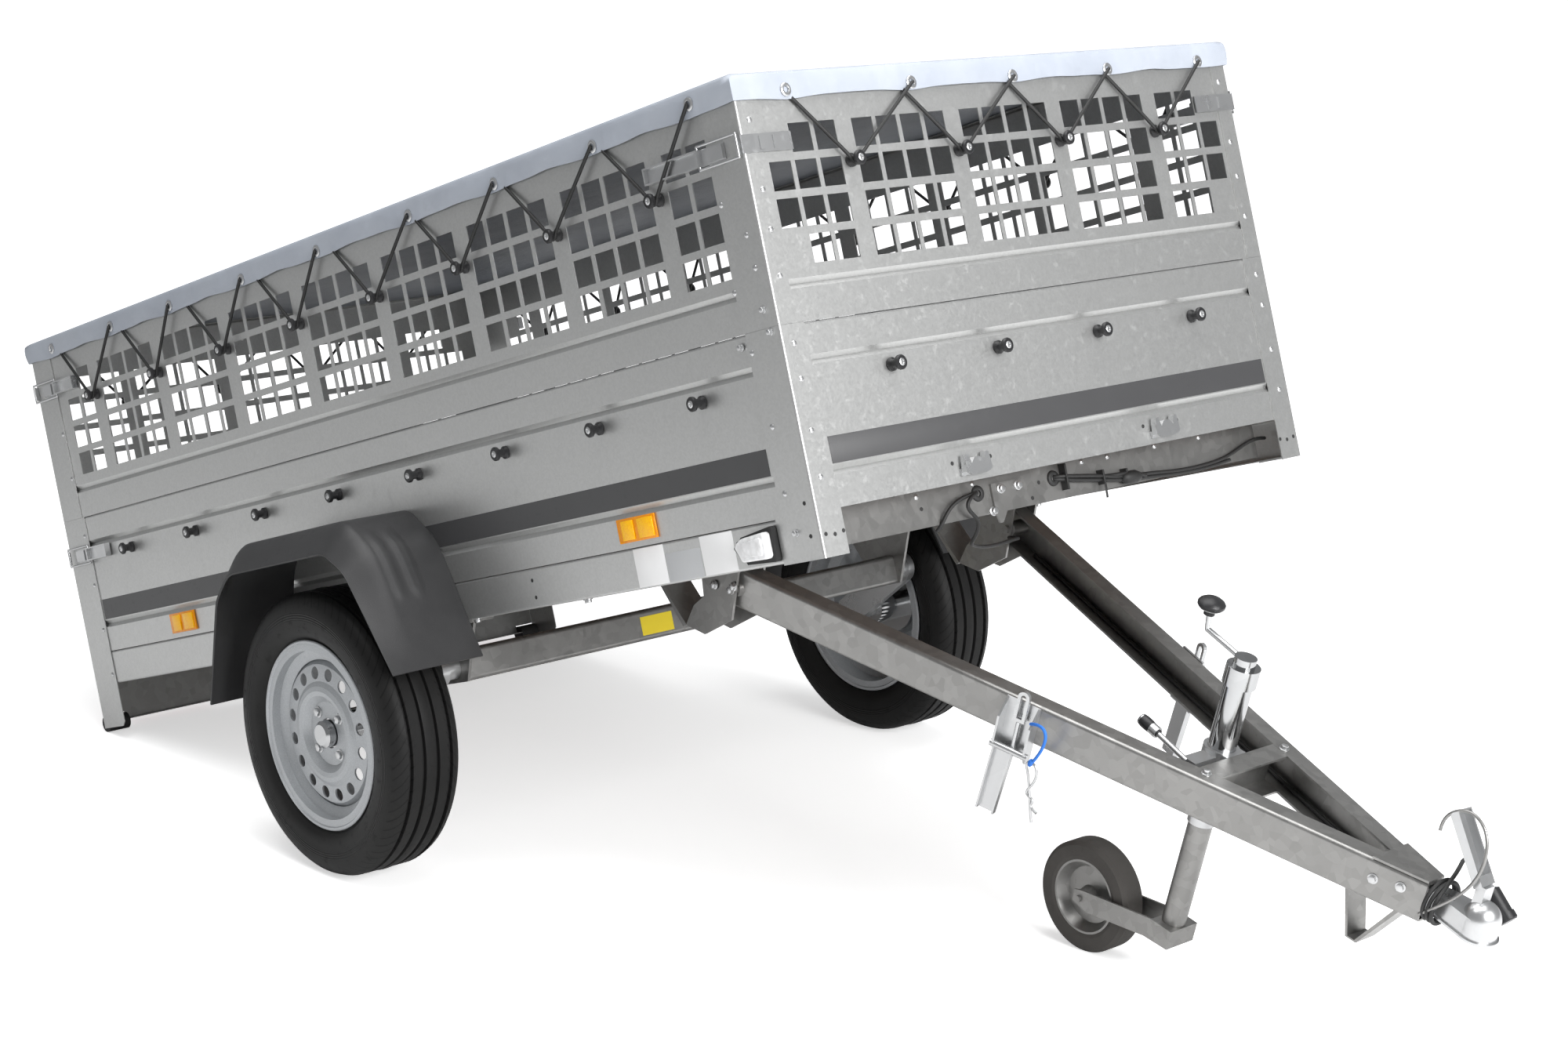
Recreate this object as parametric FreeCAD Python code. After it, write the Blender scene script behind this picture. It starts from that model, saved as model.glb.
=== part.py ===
import FreeCAD, Part
import math
import os

# A single-axle tipping utility trailer with a two-tier steel box, drawn in millimetres.
# The box is drawn level in its own frame: x forward from the front face of the corner posts,
# y to the left from the middle, z up from the lower edge of the side rails.
# The drawbar has its own frame: x forward along it, y to the left, z up from the top of its arms.
# Both are then turned to the parked attitude, with the ground at z = 0 and +X forward.

V = FreeCAD.Vector
X_AXIS = V(1, 0, 0)
Y_AXIS = V(0, 1, 0)
Z_AXIS = V(0, 0, 1)

# Parked attitude, in degrees
BOX_TILT = 16.3
DRAWBAR_DROP = 16.0

# Clearances
SEAT = 0.3
PIN_CLEARANCE = 0.08
GATE_CLEARANCE = 6.0

# Box
BOX_LENGTH = 2490.0
BOX_WIDTH = 1196.0
SHEET = 2.0
RAIL_HEIGHT = 71.6
RAIL_TOP_FLANGE = 42.0
RAIL_LOW_FLANGE = 30.0
FLOOR_THICK = 9.0
LOWER_TOP = 371.8
MESH_TOP = 772.0
PANEL_RETURN = 22.0
GROOVE_DEPTH = 6.0
GROOVE_HALF = 8.0
BEND = 4.0
LOWER_GROOVE = 132.0
UPPER_GROOVE = 311.0
MESH_GROOVE = 434.0

# Corner posts
FRONT_POST_SIDE = 84.0
FRONT_POST_FACE = 54.0
FRONT_POST_FLARE = 100.0
FRONT_POST_BOTTOM = -2.4
REAR_POST_SIDE = 98.0
REAR_POST_FACE = 41.0
REAR_POST_BOTTOM = -95.0
MESH_POST_SIDE = 88.0
MESH_POST_FACE = 40.0
POST_CORNER = 10.0

# Floor frame
CROSS_DEPTH = 30.0
CROSS_SETBACK = 64.0
FRONT_CROSS_BOTTOM = 10.0
CROSS_BOTTOM = 16.3
CROSS_BESIDE_PIN = [5.0, -185.0]
CROSS_BESIDE_AXLE = [120.0, -200.0]
CROSS_BEHIND = [0.6627, 0.8273]

# Windows of the mesh tier
WINDOW_TOP = 690.0
WINDOW_HEIGHT = 47.0
WINDOW_ROW_PITCH = 60.0
WINDOW_ROWS = 4
WINDOW_COLUMNS = 4
SIDE_BAR = 45.0
SIDE_WINDOW_GAP = 10.0
END_BAR = 38.0
END_WINDOW_GAP = 9.0
SIDE_END_COLUMNS = 2
FRONT_END_COLUMNS = 3

# Lacing knobs
SIDE_KNOBS = 8
LOWER_KNOB_FRONT = 222.6
LOWER_KNOB_REAR = 284.3
LOWER_KNOB_HEIGHT = 283.0
MESH_KNOB_FRONT = 228.4
MESH_KNOB_REAR = 266.6
MESH_KNOB_HEIGHT = 621.0
END_KNOBS = 4
END_KNOB_MARGIN = 224.5
KNOB_LENGTH = 27.0
KNOB_FOOT = 4.0
KNOB_NECK = 8.0
KNOB_CROWN = 9.0
KNOB_EDGE = 2.0
KNOB_HEAD = 12.5
KNOB_WAIST = 7.5

# Cover
COVER_THICK = 3.0
COVER_FLAP = 47.0
COVER_STANDOFF = 3.0

# Tailgate
GATE_DEPTH = 18.0
GATE_HINGE_BACK = 6.0
GATE_KNUCKLE = 7.0
GATE_PIN = 4.0
GATE_HINGE_INSET = 98.0
GATE_KNUCKLE_LENGTH = 38.0

# Wheels
AXLE_X = -1319.0
AXLE_Z = -159.5
WHEEL_OUT = 104.0
TYRE_RADIUS = 273.5
TYRE_HALF = 77.5
TYRE_WALL = 9.0
RIM_LIP = 182.5
RIM_SEAT = 165.1
RIM_WELL = 145.0
RIM_HALF = 67.6
RIM_STEEL = 3.5
RIM_CURL = 2.6
DISC_FACE = 42.0
DISC_DISH = 14.0
DISC_HOLES = 16
DISC_HOLE_RADIUS = 12.0
DISC_HOLE_CIRCLE = 117.0
HUB_HOLE = 29.0
HUB_FLANGE = 65.0
HUB_FLANGE_THICK = 10.0
HUB_BARREL = 38.0
HUB_BARREL_LENGTH = 66.0
HUB_CAP = 26.0
HUB_CAP_LENGTH = 24.0
SPINDLE = 15.0
SPINDLE_SHOULDER = 21.0

# Axle
BEAM_X = -1130.0
BEAM_Z = -83.0
BEAM_SIZE = 60.0
BEAM_WALL = 5.0
BEAM_INSET = 38.0
BEAM_ROUND = 8.0
BRACKET_THICK = 6.0
BRACKET_REACH = 95.0
BRACKET_FOOT = 40.0
SWING_THICK = 16.0
SWING_EYE = 32.0
SWING_STUB = 22.0
SWING_STUB_LENGTH = 127.0

# Mudguards, as reach from the axle and height, for the roof line and for the lip
GUARD_ROOF = [(335.0, -68.0), (270.0, 134.0), (251.0, 168.0), (189.0, 225.0)]
GUARD_LIP = [(335.0, -68.0), (239.0, 121.0), (226.0, 136.0), (174.5, 173.0)]
GUARD_SHOULDER = 150.0
GUARD_WIDTH = 195.0
GUARD_SKIN = 4.0

# Tilt hinge
PIN_X = -505.0
PIN_Z = -34.0
PIN_RADIUS = 8.0
CHEEK_THICK = 5.0
CHEEK_INSIDE = 52.0
CHEEK_OUTSIDE = 8.5
CHEEK_TOP = 12.0
CHEEK_OUTLINE = [(-471.0, CHEEK_TOP), (-524.0, -87.0), (-605.0, -104.0), (-652.0, -82.0),
                 (-620.0, -50.0), (-587.0, -37.0), (-580.0, CHEEK_TOP)]
BRACE_TOP = -712.0
BRACE_FOOT = -656.0

# Drawbar
ARM_HEIGHT = 71.0
ARM_FLANGE = 38.0
ARM_WALL = 4.0
ARM_BEND = 7.0
ARM_HEEL = 20.0
ARM_END = 1262.0
ARM_INSET = 231.0
SPREAD_TAPER = 0.2748
PIN_BACK = 4.0
BUSH_RADIUS = 14.0
CROSS_START = 845.0
CROSS_WIDTH = 40.0
NOSE_START = 1169.0
NOSE_THICK = 4.0

# Coupler
BALL_U = 1355.0
COUPLER_LIP = 35.0
COUPLER_BODY = 31.0
COUPLER_BOTTOM = -44.0
COUPLER_LIP_THICK = 4.0
COUPLER_DOME = -14.0
SOCKET_RADIUS = 25.5
SOCKET_DEPTH = 22.0
TONGUE_START = 1160.0
TONGUE_TOP = -8.0
HANDLE_WIDTH = 34.0
HANDLE_BACK = 19.0
HANDLE_RISE = 47.0
HANDLE_LENGTH = 121.0
HANDLE_DEPTH = 17.0
HANDLE_LEAN = 50.0
HANDLE_RIM = 3.0
STIRRUP_HALF = 24.0

# Jockey wheel
JOCKEY_SETBACK = 33.0
JOCKEY_OUTER = 24.0
JOCKEY_INNER = 21.0
JOCKEY_TOP = 152.0
JOCKEY_COLLAR = 29.0
JOCKEY_COLLAR_HEIGHT = 34.0
JOCKEY_CAP = 19.0
JOCKEY_CAP_HEIGHT = 16.0
JOCKEY_OUTER_BOTTOM = -146.0
JOCKEY_INNER_TOP = -20.0
JOCKEY_TRAIL = 179.0
JOCKEY_WHEEL = 100.0
JOCKEY_WHEEL_HALF = 25.0
JOCKEY_RIM = 67.0
JOCKEY_AXLE = 6.0
SWIVEL_RADIUS = 12.0
SWIVEL_LENGTH = 35.0
FORK_INNER = 30.5
FORK_THICK = 4.0
FORK_LOW = 17.0
FORK_TOP = 52.0
CLAMP_RING = 31.0
CRANK_RADIUS = 5.0

# Arm clamps
ARM_CLAMP_U = 558.0
ARM_CLAMP_HALF = 32.0
ARM_CLAMP_LOW = 103.0
ARM_CLAMP_EAR = 26.0
ARM_CLAMP_LEVER = 212.0
ARM_CLAMP_EYE = 11.0
ARM_CLAMP_EYE_TOP = 22.0

# Rear light beam
LAMP_BEAM_LIP = 25.0
LAMP_BEAM_BOTTOM = -84.0
BUFFER_RADIUS = 18.0
BUFFER_INSET = 8.0
BUFFER_LENGTH = 50.7
REAR_LAMP_INSET = 70.0
REAR_LAMP_WIDTH = 222.0
REAR_LAMP_LOW = -78.0
REAR_LAMP_HIGH = 24.0
REAR_LAMP_BACK = 14.0
REAR_LAMP_LENS = 30.0
LAMP_RIM = 6.0

# Front lamps, hooks and guides
MARKER_FRONT = -103.0
MARKER_LENGTH = 92.0
MARKER_LOW = 6.0
MARKER_HIGH = 64.0
MARKER_BASE = 12.0
MARKER_LENS = 14.0
HOOK_INSET = 360.5
HOOK_HALF = 31.0
HOOK_HEIGHT = 34.0
HOOK_LOW = 82.0
HOOK_PLATE = 4.0
HOOK_THICK = 12.0
GUIDE_INSET = 451.0
GUIDE_WIDTH = 77.0
GUIDE_TOP = 60.0
GUIDE_LENGTH = 68.0
GUIDE_THICK = 4.0

# Toggle latches
LATCH_HIGH = 662.0
LATCH_LOW = 290.0
LATCH_HALF = 14.0
LATCH_REACH = 242.0
LATCH_REACH_REAR = 190.0
LATCH_HINGE = 100.0
LATCH_CATCH = 43.0
LATCH_DEPTH = 11.0
LATCH_PLATE = 2.0
LATCH_RIM = 2.5
BAIL_HALF = 19.0
BAIL_WIRE = 2.2
BAIL_OUT = 8.0
STRAP_INNER = 103.0
STRAP_HALF = 15.0
STRAP_THICK = 2.5
STRAP_RIBS = [37.0, 66.0]
STRAP_JOGGLE = 50.0

# Plug cable along the left arm and round the coupler's neck
CABLE_RADIUS = 3.5
CABLE_START = 60.0
CABLE_DEPTH = 14.0
WIND_START = 1271.0
WIND_PITCH = 8.5
WIND_TURNS = 3
WIND_RADIUS = 38.0
WIND_HEIGHT = -26.0
PLUG_PLACE = (1303.0, 58.0, 17.0)
PLUG_DROOP = 33.7
PLUG_RADIUS = 17.0
PLUG_LENGTH = 58.0
PLUG_NECK = 8.0
PLUG_NECK_LENGTH = 22.0


def radians(angle):
    return angle * math.pi / 180.0


def block(x0, x1, y0, y1, z0, z1):
    return Part.makeBox(x1 - x0, y1 - y0, z1 - z0, V(x0, y0, z0))


def face_of(points):
    corners = [V(*point) for point in points]
    return Part.Face(Part.makePolygon(corners + [corners[0]]))


def prism_x(points, x0, x1):
    """An outline of (y, z) points, run from x0 to x1."""
    return face_of([(x0, y, z) for y, z in points]).extrude(V(x1 - x0, 0, 0))


def prism_y(points, y0, y1):
    """An outline of (x, z) points, run from y0 to y1."""
    return face_of([(x, y0, z) for x, z in points]).extrude(V(0, y1 - y0, 0))


def prism_z(points, z0, z1):
    """An outline of (x, y) points, run from z0 to z1."""
    return face_of([(x, y, z0) for x, y in points]).extrude(V(0, 0, z1 - z0))


def cylinder(start, axis, radius, length):
    return Part.makeCylinder(radius, length, V(*start), axis)


def rod(start, end, radius):
    start, end = V(*start), V(*end)
    return Part.makeCylinder(radius, (end - start).Length, start, end - start)


def turned(profile, centre, axis):
    """An outline of (distance along the axis, radius) points, turned about the axis."""
    solid = face_of([(radius, 0, along) for along, radius in profile]).revolve(V(0, 0, 0), Z_AXIS, 360)
    solid.Placement = FreeCAD.Placement(V(*centre), FreeCAD.Rotation(Z_AXIS, axis))
    return solid


def joined(shapes):
    return shapes[0].multiFuse(shapes[1:]).removeSplitter()


def mirrored(shape):
    return shape.mirror(V(0, 0, 0), Y_AXIS)


def both_sides(shape):
    return Part.makeCompound([shape, mirrored(shape)])


# Places worked out from the sizes above
HALF_WIDTH = BOX_WIDTH / 2
REAR = -BOX_LENGTH
POST_INNER = HALF_WIDTH - SHEET
SIDE_FACE = POST_INNER - SEAT
SIDE_BACK = SIDE_FACE - SHEET
FRONT_FACE = -SHEET - SEAT
REAR_FACE = REAR + SHEET + SEAT
FLOOR_BOTTOM = RAIL_HEIGHT + SEAT
FLOOR_TOP = FLOOR_BOTTOM + FLOOR_THICK
LOWER_KNOB_FIRST = -LOWER_KNOB_FRONT
LOWER_KNOB_PITCH = (BOX_LENGTH - LOWER_KNOB_FRONT - LOWER_KNOB_REAR) / (SIDE_KNOBS - 1)
MESH_KNOB_FIRST = -MESH_KNOB_FRONT
MESH_KNOB_PITCH = (BOX_LENGTH - MESH_KNOB_FRONT - MESH_KNOB_REAR) / (SIDE_KNOBS - 1)
END_KNOB_PITCH = (BOX_WIDTH - 2 * END_KNOB_MARGIN) / (END_KNOBS - 1)
SIDE_WINDOW = (MESH_KNOB_PITCH - SIDE_BAR - (WINDOW_COLUMNS - 1) * SIDE_WINDOW_GAP) / WINDOW_COLUMNS
END_WINDOW = (END_KNOB_PITCH - END_BAR - (WINDOW_COLUMNS - 1) * END_WINDOW_GAP) / WINDOW_COLUMNS
CROSS_PLACES = [PIN_X + step for step in CROSS_BESIDE_PIN]
CROSS_PLACES += [BEAM_X + step for step in CROSS_BESIDE_AXLE]
CROSS_PLACES += [-share * BOX_LENGTH for share in CROSS_BEHIND]
MESH_BOTTOM = LOWER_TOP + SEAT
GROOVE_BACK = GROOVE_DEPTH + SHEET
SIDE_FRONT = FRONT_FACE - GROOVE_BACK - SEAT
SIDE_REAR = REAR_FACE + GROOVE_BACK + SEAT
END_HALF = SIDE_BACK - SEAT
CROSS_HALF = SIDE_FACE - RAIL_TOP_FLANGE - SEAT
GATE_HALF = HALF_WIDTH - REAR_POST_FACE - GATE_CLEARANCE
GATE_BOTTOM = FLOOR_BOTTOM + GATE_CLEARANCE
GATE_TOP = MESH_BOTTOM - GATE_CLEARANCE
GATE_PIVOT_X = REAR - GATE_HINGE_BACK
GATE_PIVOT_Z = GATE_BOTTOM
GATE_HINGE_Y = HALF_WIDTH - GATE_HINGE_INSET
BEAM_HALF = HALF_WIDTH - BEAM_INSET
SWING_INNER = BEAM_HALF + BRACKET_THICK + 31.0
SWING_OUTER = SWING_INNER + SWING_THICK
SPREAD_REAR = HALF_WIDTH - ARM_INSET
CHEEK_INNER = SPREAD_REAR - CHEEK_INSIDE
CHEEK_OUTER = SPREAD_REAR + CHEEK_OUTSIDE
CROSS_END = CROSS_START + CROSS_WIDTH
JOCKEY_U = CROSS_START - JOCKEY_SETBACK
WHEEL_Y = HALF_WIDTH + WHEEL_OUT
HUB_SEAT = WHEEL_Y + DISC_FACE - RIM_STEEL - SEAT
HUB_BACK = HUB_SEAT - HUB_FLANGE_THICK - HUB_BARREL_LENGTH
TILT = radians(BOX_TILT)
DROP = radians(DRAWBAR_DROP)
BOX_HEIGHT = TYRE_RADIUS - AXLE_X * math.sin(TILT) - AXLE_Z * math.cos(TILT)
PIN_U = -PIN_BACK
PIN_W = -ARM_HEIGHT / 2


def box_point(x, y, z):
    """World place of a point of the box, before the origin is centred."""
    return V(x * math.cos(TILT) - z * math.sin(TILT), y,
             BOX_HEIGHT + x * math.sin(TILT) + z * math.cos(TILT))


def bar_point(u, s, w):
    """World place of a point of the drawbar, before the origin is centred."""
    pin = box_point(PIN_X, 0, PIN_Z)
    along, above = u - PIN_U, w - PIN_W
    return V(pin.x + along * math.cos(DROP) + above * math.sin(DROP), s,
             pin.z - along * math.sin(DROP) + above * math.cos(DROP))


BOX_PLACE = FreeCAD.Placement(box_point(0, 0, 0), FreeCAD.Rotation(Y_AXIS, -BOX_TILT))
BAR_PLACE = FreeCAD.Placement(bar_point(0, 0, 0), FreeCAD.Rotation(Y_AXIS, DRAWBAR_DROP))

# The jockey wheel reaches down to the ground
JOCKEY_AXLE_U = JOCKEY_U - JOCKEY_TRAIL
JOCKEY_AXLE_W = (JOCKEY_WHEEL - bar_point(JOCKEY_AXLE_U, 0, 0).z) / math.cos(DROP)

STIRRUP_HEEL = ARM_END - 142
STIRRUP_TOE = ARM_END - 34
STIRRUP_DROP = ARM_HEIGHT + 92

# The rear buffers rest on the ground
BUFFER_X = REAR + BUFFER_INSET
BUFFER_OUTER = POST_INNER - SEAT
BUFFER_INNER = BUFFER_OUTER - BUFFER_LENGTH
BUFFER_Z = (BUFFER_RADIUS - BOX_HEIGHT - BUFFER_X * math.sin(TILT)) / math.cos(TILT)
BUFFER_TOP = BUFFER_Z + BUFFER_RADIUS + 2


def spread(u):
    """Half the outer width of the drawbar at u."""
    return SPREAD_REAR - SPREAD_TAPER * u


ARM_SLANT = math.hypot(1.0, SPREAD_TAPER)


def inner_spread(u, depth):
    """Half width at a depth measured square to the arm's web."""
    return spread(u) - depth * ARM_SLANT


def bent(corner, before, after, radius):
    """Three points round an outline's corner that is bent to a radius; before and after are unit steps."""
    slack = 1 - math.sqrt(0.5)
    first = (corner[0] + before[0] * radius, corner[1] + before[1] * radius)
    last = (corner[0] + after[0] * radius, corner[1] + after[1] * radius)
    middle = (corner[0] + (before[0] + after[0]) * radius * slack,
              corner[1] + (before[1] + after[1]) * radius * slack)
    return [first, middle, last]


def rounded(solid, radius, wanted):
    """The solid with the edges filleted whose middle the wanted test picks."""
    edges = []
    for edge in solid.Edges:
        box = edge.BoundBox
        if wanted(box, V((box.XMin + box.XMax) / 2, (box.YMin + box.YMax) / 2, (box.ZMin + box.ZMax) / 2)):
            edges.append(edge)
    return solid.makeFillet(radius, edges)


def ribbed_section(low, high, grooves):
    """Sheet with inward grooves and a return along its top, as (depth, height) points."""
    face = [(0, low)]
    back = [(SHEET, low)]
    for height in grooves:
        for depth, rise in ((0, -GROOVE_HALF), (GROOVE_DEPTH, 0), (0, GROOVE_HALF)):
            face.append((depth, height + rise))
            back.append((depth + SHEET, height + rise))
    face += bent((0, high), (0, -1), (1, 0), BEND)
    face += [(PANEL_RETURN + SHEET, high), (PANEL_RETURN + SHEET, high - SHEET)]
    face += bent((SHEET, high - SHEET), (1, 0), (0, -1), BEND - SHEET)
    return face + back[::-1]


def side_panel(low, high, grooves):
    section = ribbed_section(low, high, grooves)
    return prism_x([(SIDE_FACE - depth, z) for depth, z in section], SIDE_REAR, SIDE_FRONT)


def end_panel(face, inward, low, high, grooves):
    """Front or rear sheet, its return stopping short of the side returns."""
    section = ribbed_section(low, high, grooves)
    panel = prism_y([(face + inward * depth, z) for depth, z in section], -END_HALF, END_HALF)
    return_half = SIDE_FACE - PANEL_RETURN - SHEET - SEAT
    near = face + inward * GROOVE_BACK
    far = face + inward * (PANEL_RETURN + SHEET + 1)
    corner = block(min(near, far), max(near, far), return_half, END_HALF + 1, high - SHEET - 1, high + 1)
    return panel.cut(both_sides(corner))


def side_windows():
    """Spans and rows of the windows of a side, in blocks between the bars that carry the knobs."""
    bar = MESH_KNOB_PITCH - WINDOW_COLUMNS * SIDE_WINDOW - (WINDOW_COLUMNS - 1) * SIDE_WINDOW_GAP
    step = SIDE_WINDOW + SIDE_WINDOW_GAP
    spans = []
    for knob_index in range(SIDE_KNOBS):
        centre = MESH_KNOB_FIRST - knob_index * MESH_KNOB_PITCH
        last = knob_index == SIDE_KNOBS - 1
        columns = SIDE_END_COLUMNS if last else WINDOW_COLUMNS
        for column in range(columns):
            high = centre - bar / 2 - column * step
            rows = range(1, WINDOW_ROWS) if last and column == columns - 1 else range(WINDOW_ROWS)
            spans.append((high - SIDE_WINDOW, high, rows))
    for column in range(SIDE_END_COLUMNS):
        low = MESH_KNOB_FIRST + bar / 2 + column * step
        spans.append((low, low + SIDE_WINDOW, range(WINDOW_ROWS)))
    return spans


def end_knob_places():
    return [(index - (END_KNOBS - 1) / 2) * END_KNOB_PITCH for index in range(END_KNOBS)]


def end_windows():
    """Spans and rows of the windows of the front or rear, on both sides of the middle."""
    bar = END_KNOB_PITCH - WINDOW_COLUMNS * END_WINDOW - (WINDOW_COLUMNS - 1) * END_WINDOW_GAP
    step = END_WINDOW + END_WINDOW_GAP
    spans = []
    for knob_y in end_knob_places()[:-1]:
        for column in range(WINDOW_COLUMNS):
            low = knob_y + bar / 2 + column * step
            spans.append((low, low + END_WINDOW, range(WINDOW_ROWS)))
    outermost = end_knob_places()[-1] + bar / 2
    for column in range(FRONT_END_COLUMNS):
        low = outermost + column * step
        rows = range(1, WINDOW_ROWS - 1) if column == FRONT_END_COLUMNS - 1 else range(WINDOW_ROWS)
        spans.append((low, low + END_WINDOW, rows))
        spans.append((-low - END_WINDOW, -low, rows))
    return spans


def window_heights(row):
    top = WINDOW_TOP - row * WINDOW_ROW_PITCH
    return top - WINDOW_HEIGHT, top


def mesh_side():
    panel = side_panel(MESH_BOTTOM, MESH_TOP, [MESH_GROOVE])
    cuts = []
    for start, end, rows in side_windows():
        for row in rows:
            low, high = window_heights(row)
            cuts.append(block(start, end, SIDE_BACK - 1, SIDE_FACE + 1, low, high))
    return panel.cut(Part.makeCompound(cuts))


def mesh_end(face, inward):
    panel = end_panel(face, inward, MESH_BOTTOM, MESH_TOP, [MESH_GROOVE])
    cuts = []
    for start, end, rows in end_windows():
        for row in rows:
            low, high = window_heights(row)
            cuts.append(block(face - SHEET - 1, face + SHEET + 1, start, end, low, high))
    return panel.cut(Part.makeCompound(cuts))


def side_rail():
    """Folded channel along the side, open inwards."""
    top_edge = SIDE_FACE - RAIL_TOP_FLANGE
    low_edge = SIDE_FACE - RAIL_LOW_FLANGE
    inner = BEND - SHEET
    outline = bent((SIDE_FACE, 0), (-1, 0), (0, 1), BEND)
    outline += bent((SIDE_FACE, RAIL_HEIGHT), (0, -1), (-1, 0), BEND)
    outline += [(top_edge, RAIL_HEIGHT), (top_edge, RAIL_HEIGHT - SHEET)]
    outline += bent((SIDE_BACK, RAIL_HEIGHT - SHEET), (-1, 0), (0, -1), inner)
    outline += bent((SIDE_BACK, SHEET), (0, 1), (-1, 0), inner)
    outline += [(low_edge, SHEET), (low_edge, 0)]
    return prism_x(outline, REAR_FACE, FRONT_FACE)


def cross_channel(web, inward, low, high, depth, half):
    """Folded channel across the box: its web's outer face at web, open inwards."""
    tip = web + inward * depth
    inside = web + inward * SHEET
    outline = [(web, low), (tip, low), (tip, low + SHEET), (inside, low + SHEET),
               (inside, high - SHEET), (tip, high - SHEET), (tip, high), (web, high)]
    return prism_y(outline, -half, half)


def lamp_beam():
    """Folded beam under the tail that carries the rear lamps, notched round the buffers."""
    beam = cross_channel(REAR_FACE, 1, LAMP_BEAM_BOTTOM, -SEAT, LAMP_BEAM_LIP, END_HALF)
    notch = block(REAR - 20, REAR + 60, BUFFER_INNER - SEAT, HALF_WIDTH, LAMP_BEAM_BOTTOM - 20, BUFFER_TOP)
    return beam.cut(both_sides(notch))


def cross_members():
    front = cross_channel(-CROSS_SETBACK, -1, FRONT_CROSS_BOTTOM, RAIL_HEIGHT, CROSS_DEPTH, CROSS_HALF)
    rear = cross_channel(REAR_FACE, 1, CROSS_BOTTOM, RAIL_HEIGHT, CROSS_DEPTH, CROSS_HALF)
    middle = [cross_channel(x, -1, CROSS_BOTTOM, RAIL_HEIGHT, CROSS_DEPTH, CROSS_HALF)
              for x in CROSS_PLACES]
    return Part.makeCompound([front, rear, lamp_beam()] + middle)


def floor_panel():
    rear = REAR + GATE_DEPTH + GATE_CLEARANCE
    return block(rear, FRONT_FACE - SHEET - SEAT, -END_HALF, END_HALF, FLOOR_BOTTOM, FLOOR_TOP)


def front_post():
    """Folded corner post on the left, its side leg flared at the foot."""
    face_leg = block(-SHEET, 0, HALF_WIDTH - FRONT_POST_FACE, HALF_WIDTH, FRONT_POST_BOTTOM, LOWER_TOP)
    side_leg = prism_y([(-FRONT_POST_FLARE, FRONT_POST_BOTTOM), (0, FRONT_POST_BOTTOM), (0, LOWER_TOP),
                        (-FRONT_POST_SIDE, LOWER_TOP), (-FRONT_POST_SIDE, RAIL_HEIGHT + 12),
                        (-FRONT_POST_FLARE, RAIL_HEIGHT)], POST_INNER, HALF_WIDTH)
    return rounded(joined([face_leg, side_leg]), BEND,
                   lambda box, middle: box.ZLength > RAIL_HEIGHT and middle.x > -0.1
                   and middle.y > HALF_WIDTH - 0.1)


def rear_post():
    """Folded corner post on the left, reaching down below the rail as a foot."""
    foot_front = REAR + REAR_POST_SIDE
    side_leg = prism_y([(REAR, REAR_POST_BOTTOM), (foot_front - POST_CORNER, REAR_POST_BOTTOM),
                        (foot_front, REAR_POST_BOTTOM + POST_CORNER), (foot_front, LOWER_TOP),
                        (REAR, LOWER_TOP)], POST_INNER, HALF_WIDTH)
    rear_leg = block(REAR, REAR + SHEET, HALF_WIDTH - REAR_POST_FACE, HALF_WIDTH, BUFFER_TOP, LOWER_TOP)
    return rounded(joined([side_leg, rear_leg]), BEND,
                   lambda box, middle: box.ZMax > LOWER_TOP - 0.1 and box.ZLength > RAIL_HEIGHT
                   and middle.x < REAR + 0.1 and middle.y > HALF_WIDTH - 0.1)


def mesh_post(face, inward):
    """Folded corner post of the upper tier, on the left."""
    side_end = face + inward * MESH_POST_SIDE
    leaf = face + inward * SHEET
    side_leg = block(min(face, side_end), max(face, side_end), POST_INNER, HALF_WIDTH,
                     MESH_BOTTOM, MESH_TOP)
    face_leg = block(min(face, leaf), max(face, leaf), HALF_WIDTH - MESH_POST_FACE, HALF_WIDTH,
                     MESH_BOTTOM, MESH_TOP)
    return rounded(joined([side_leg, face_leg]), BEND,
                   lambda box, middle: box.ZLength > RAIL_HEIGHT and abs(middle.x - face) < 0.1
                   and middle.y > HALF_WIDTH - 0.1)


def knob(point, axis):
    """Lacing knob: a spool with a foot, a waist and a round head."""
    foot = KNOB_HEAD - KNOB_EDGE / 2
    crown = KNOB_LENGTH - KNOB_CROWN
    profile = [(0, 0), (0, foot), (KNOB_FOOT, foot), (KNOB_NECK, KNOB_WAIST), (crown, KNOB_WAIST),
               (crown + KNOB_CROWN / 3, KNOB_HEAD), (KNOB_LENGTH - KNOB_EDGE, KNOB_HEAD),
               (KNOB_LENGTH, KNOB_HEAD - KNOB_EDGE), (KNOB_LENGTH, 0)]
    return turned(profile, point, axis)


def side_knobs(first, pitch, height):
    seat = SIDE_FACE + SEAT
    knobs = []
    for index in range(SIDE_KNOBS):
        x = first - index * pitch
        knobs.append(knob((x, seat, height), Y_AXIS))
        knobs.append(knob((x, -seat, height), -Y_AXIS))
    return knobs


def end_knobs(face, axis, height):
    return [knob((face, y, height), axis) for y in end_knob_places()]


def lacing_knobs():
    front = FRONT_FACE + SEAT
    knobs = side_knobs(MESH_KNOB_FIRST, MESH_KNOB_PITCH, MESH_KNOB_HEIGHT)
    knobs += side_knobs(LOWER_KNOB_FIRST, LOWER_KNOB_PITCH, LOWER_KNOB_HEIGHT)
    knobs += end_knobs(front, X_AXIS, MESH_KNOB_HEIGHT)
    knobs += end_knobs(front, X_AXIS, LOWER_KNOB_HEIGHT)
    knobs += end_knobs(REAR_FACE - SEAT, -X_AXIS, MESH_KNOB_HEIGHT)
    return Part.makeCompound(knobs)


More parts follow.
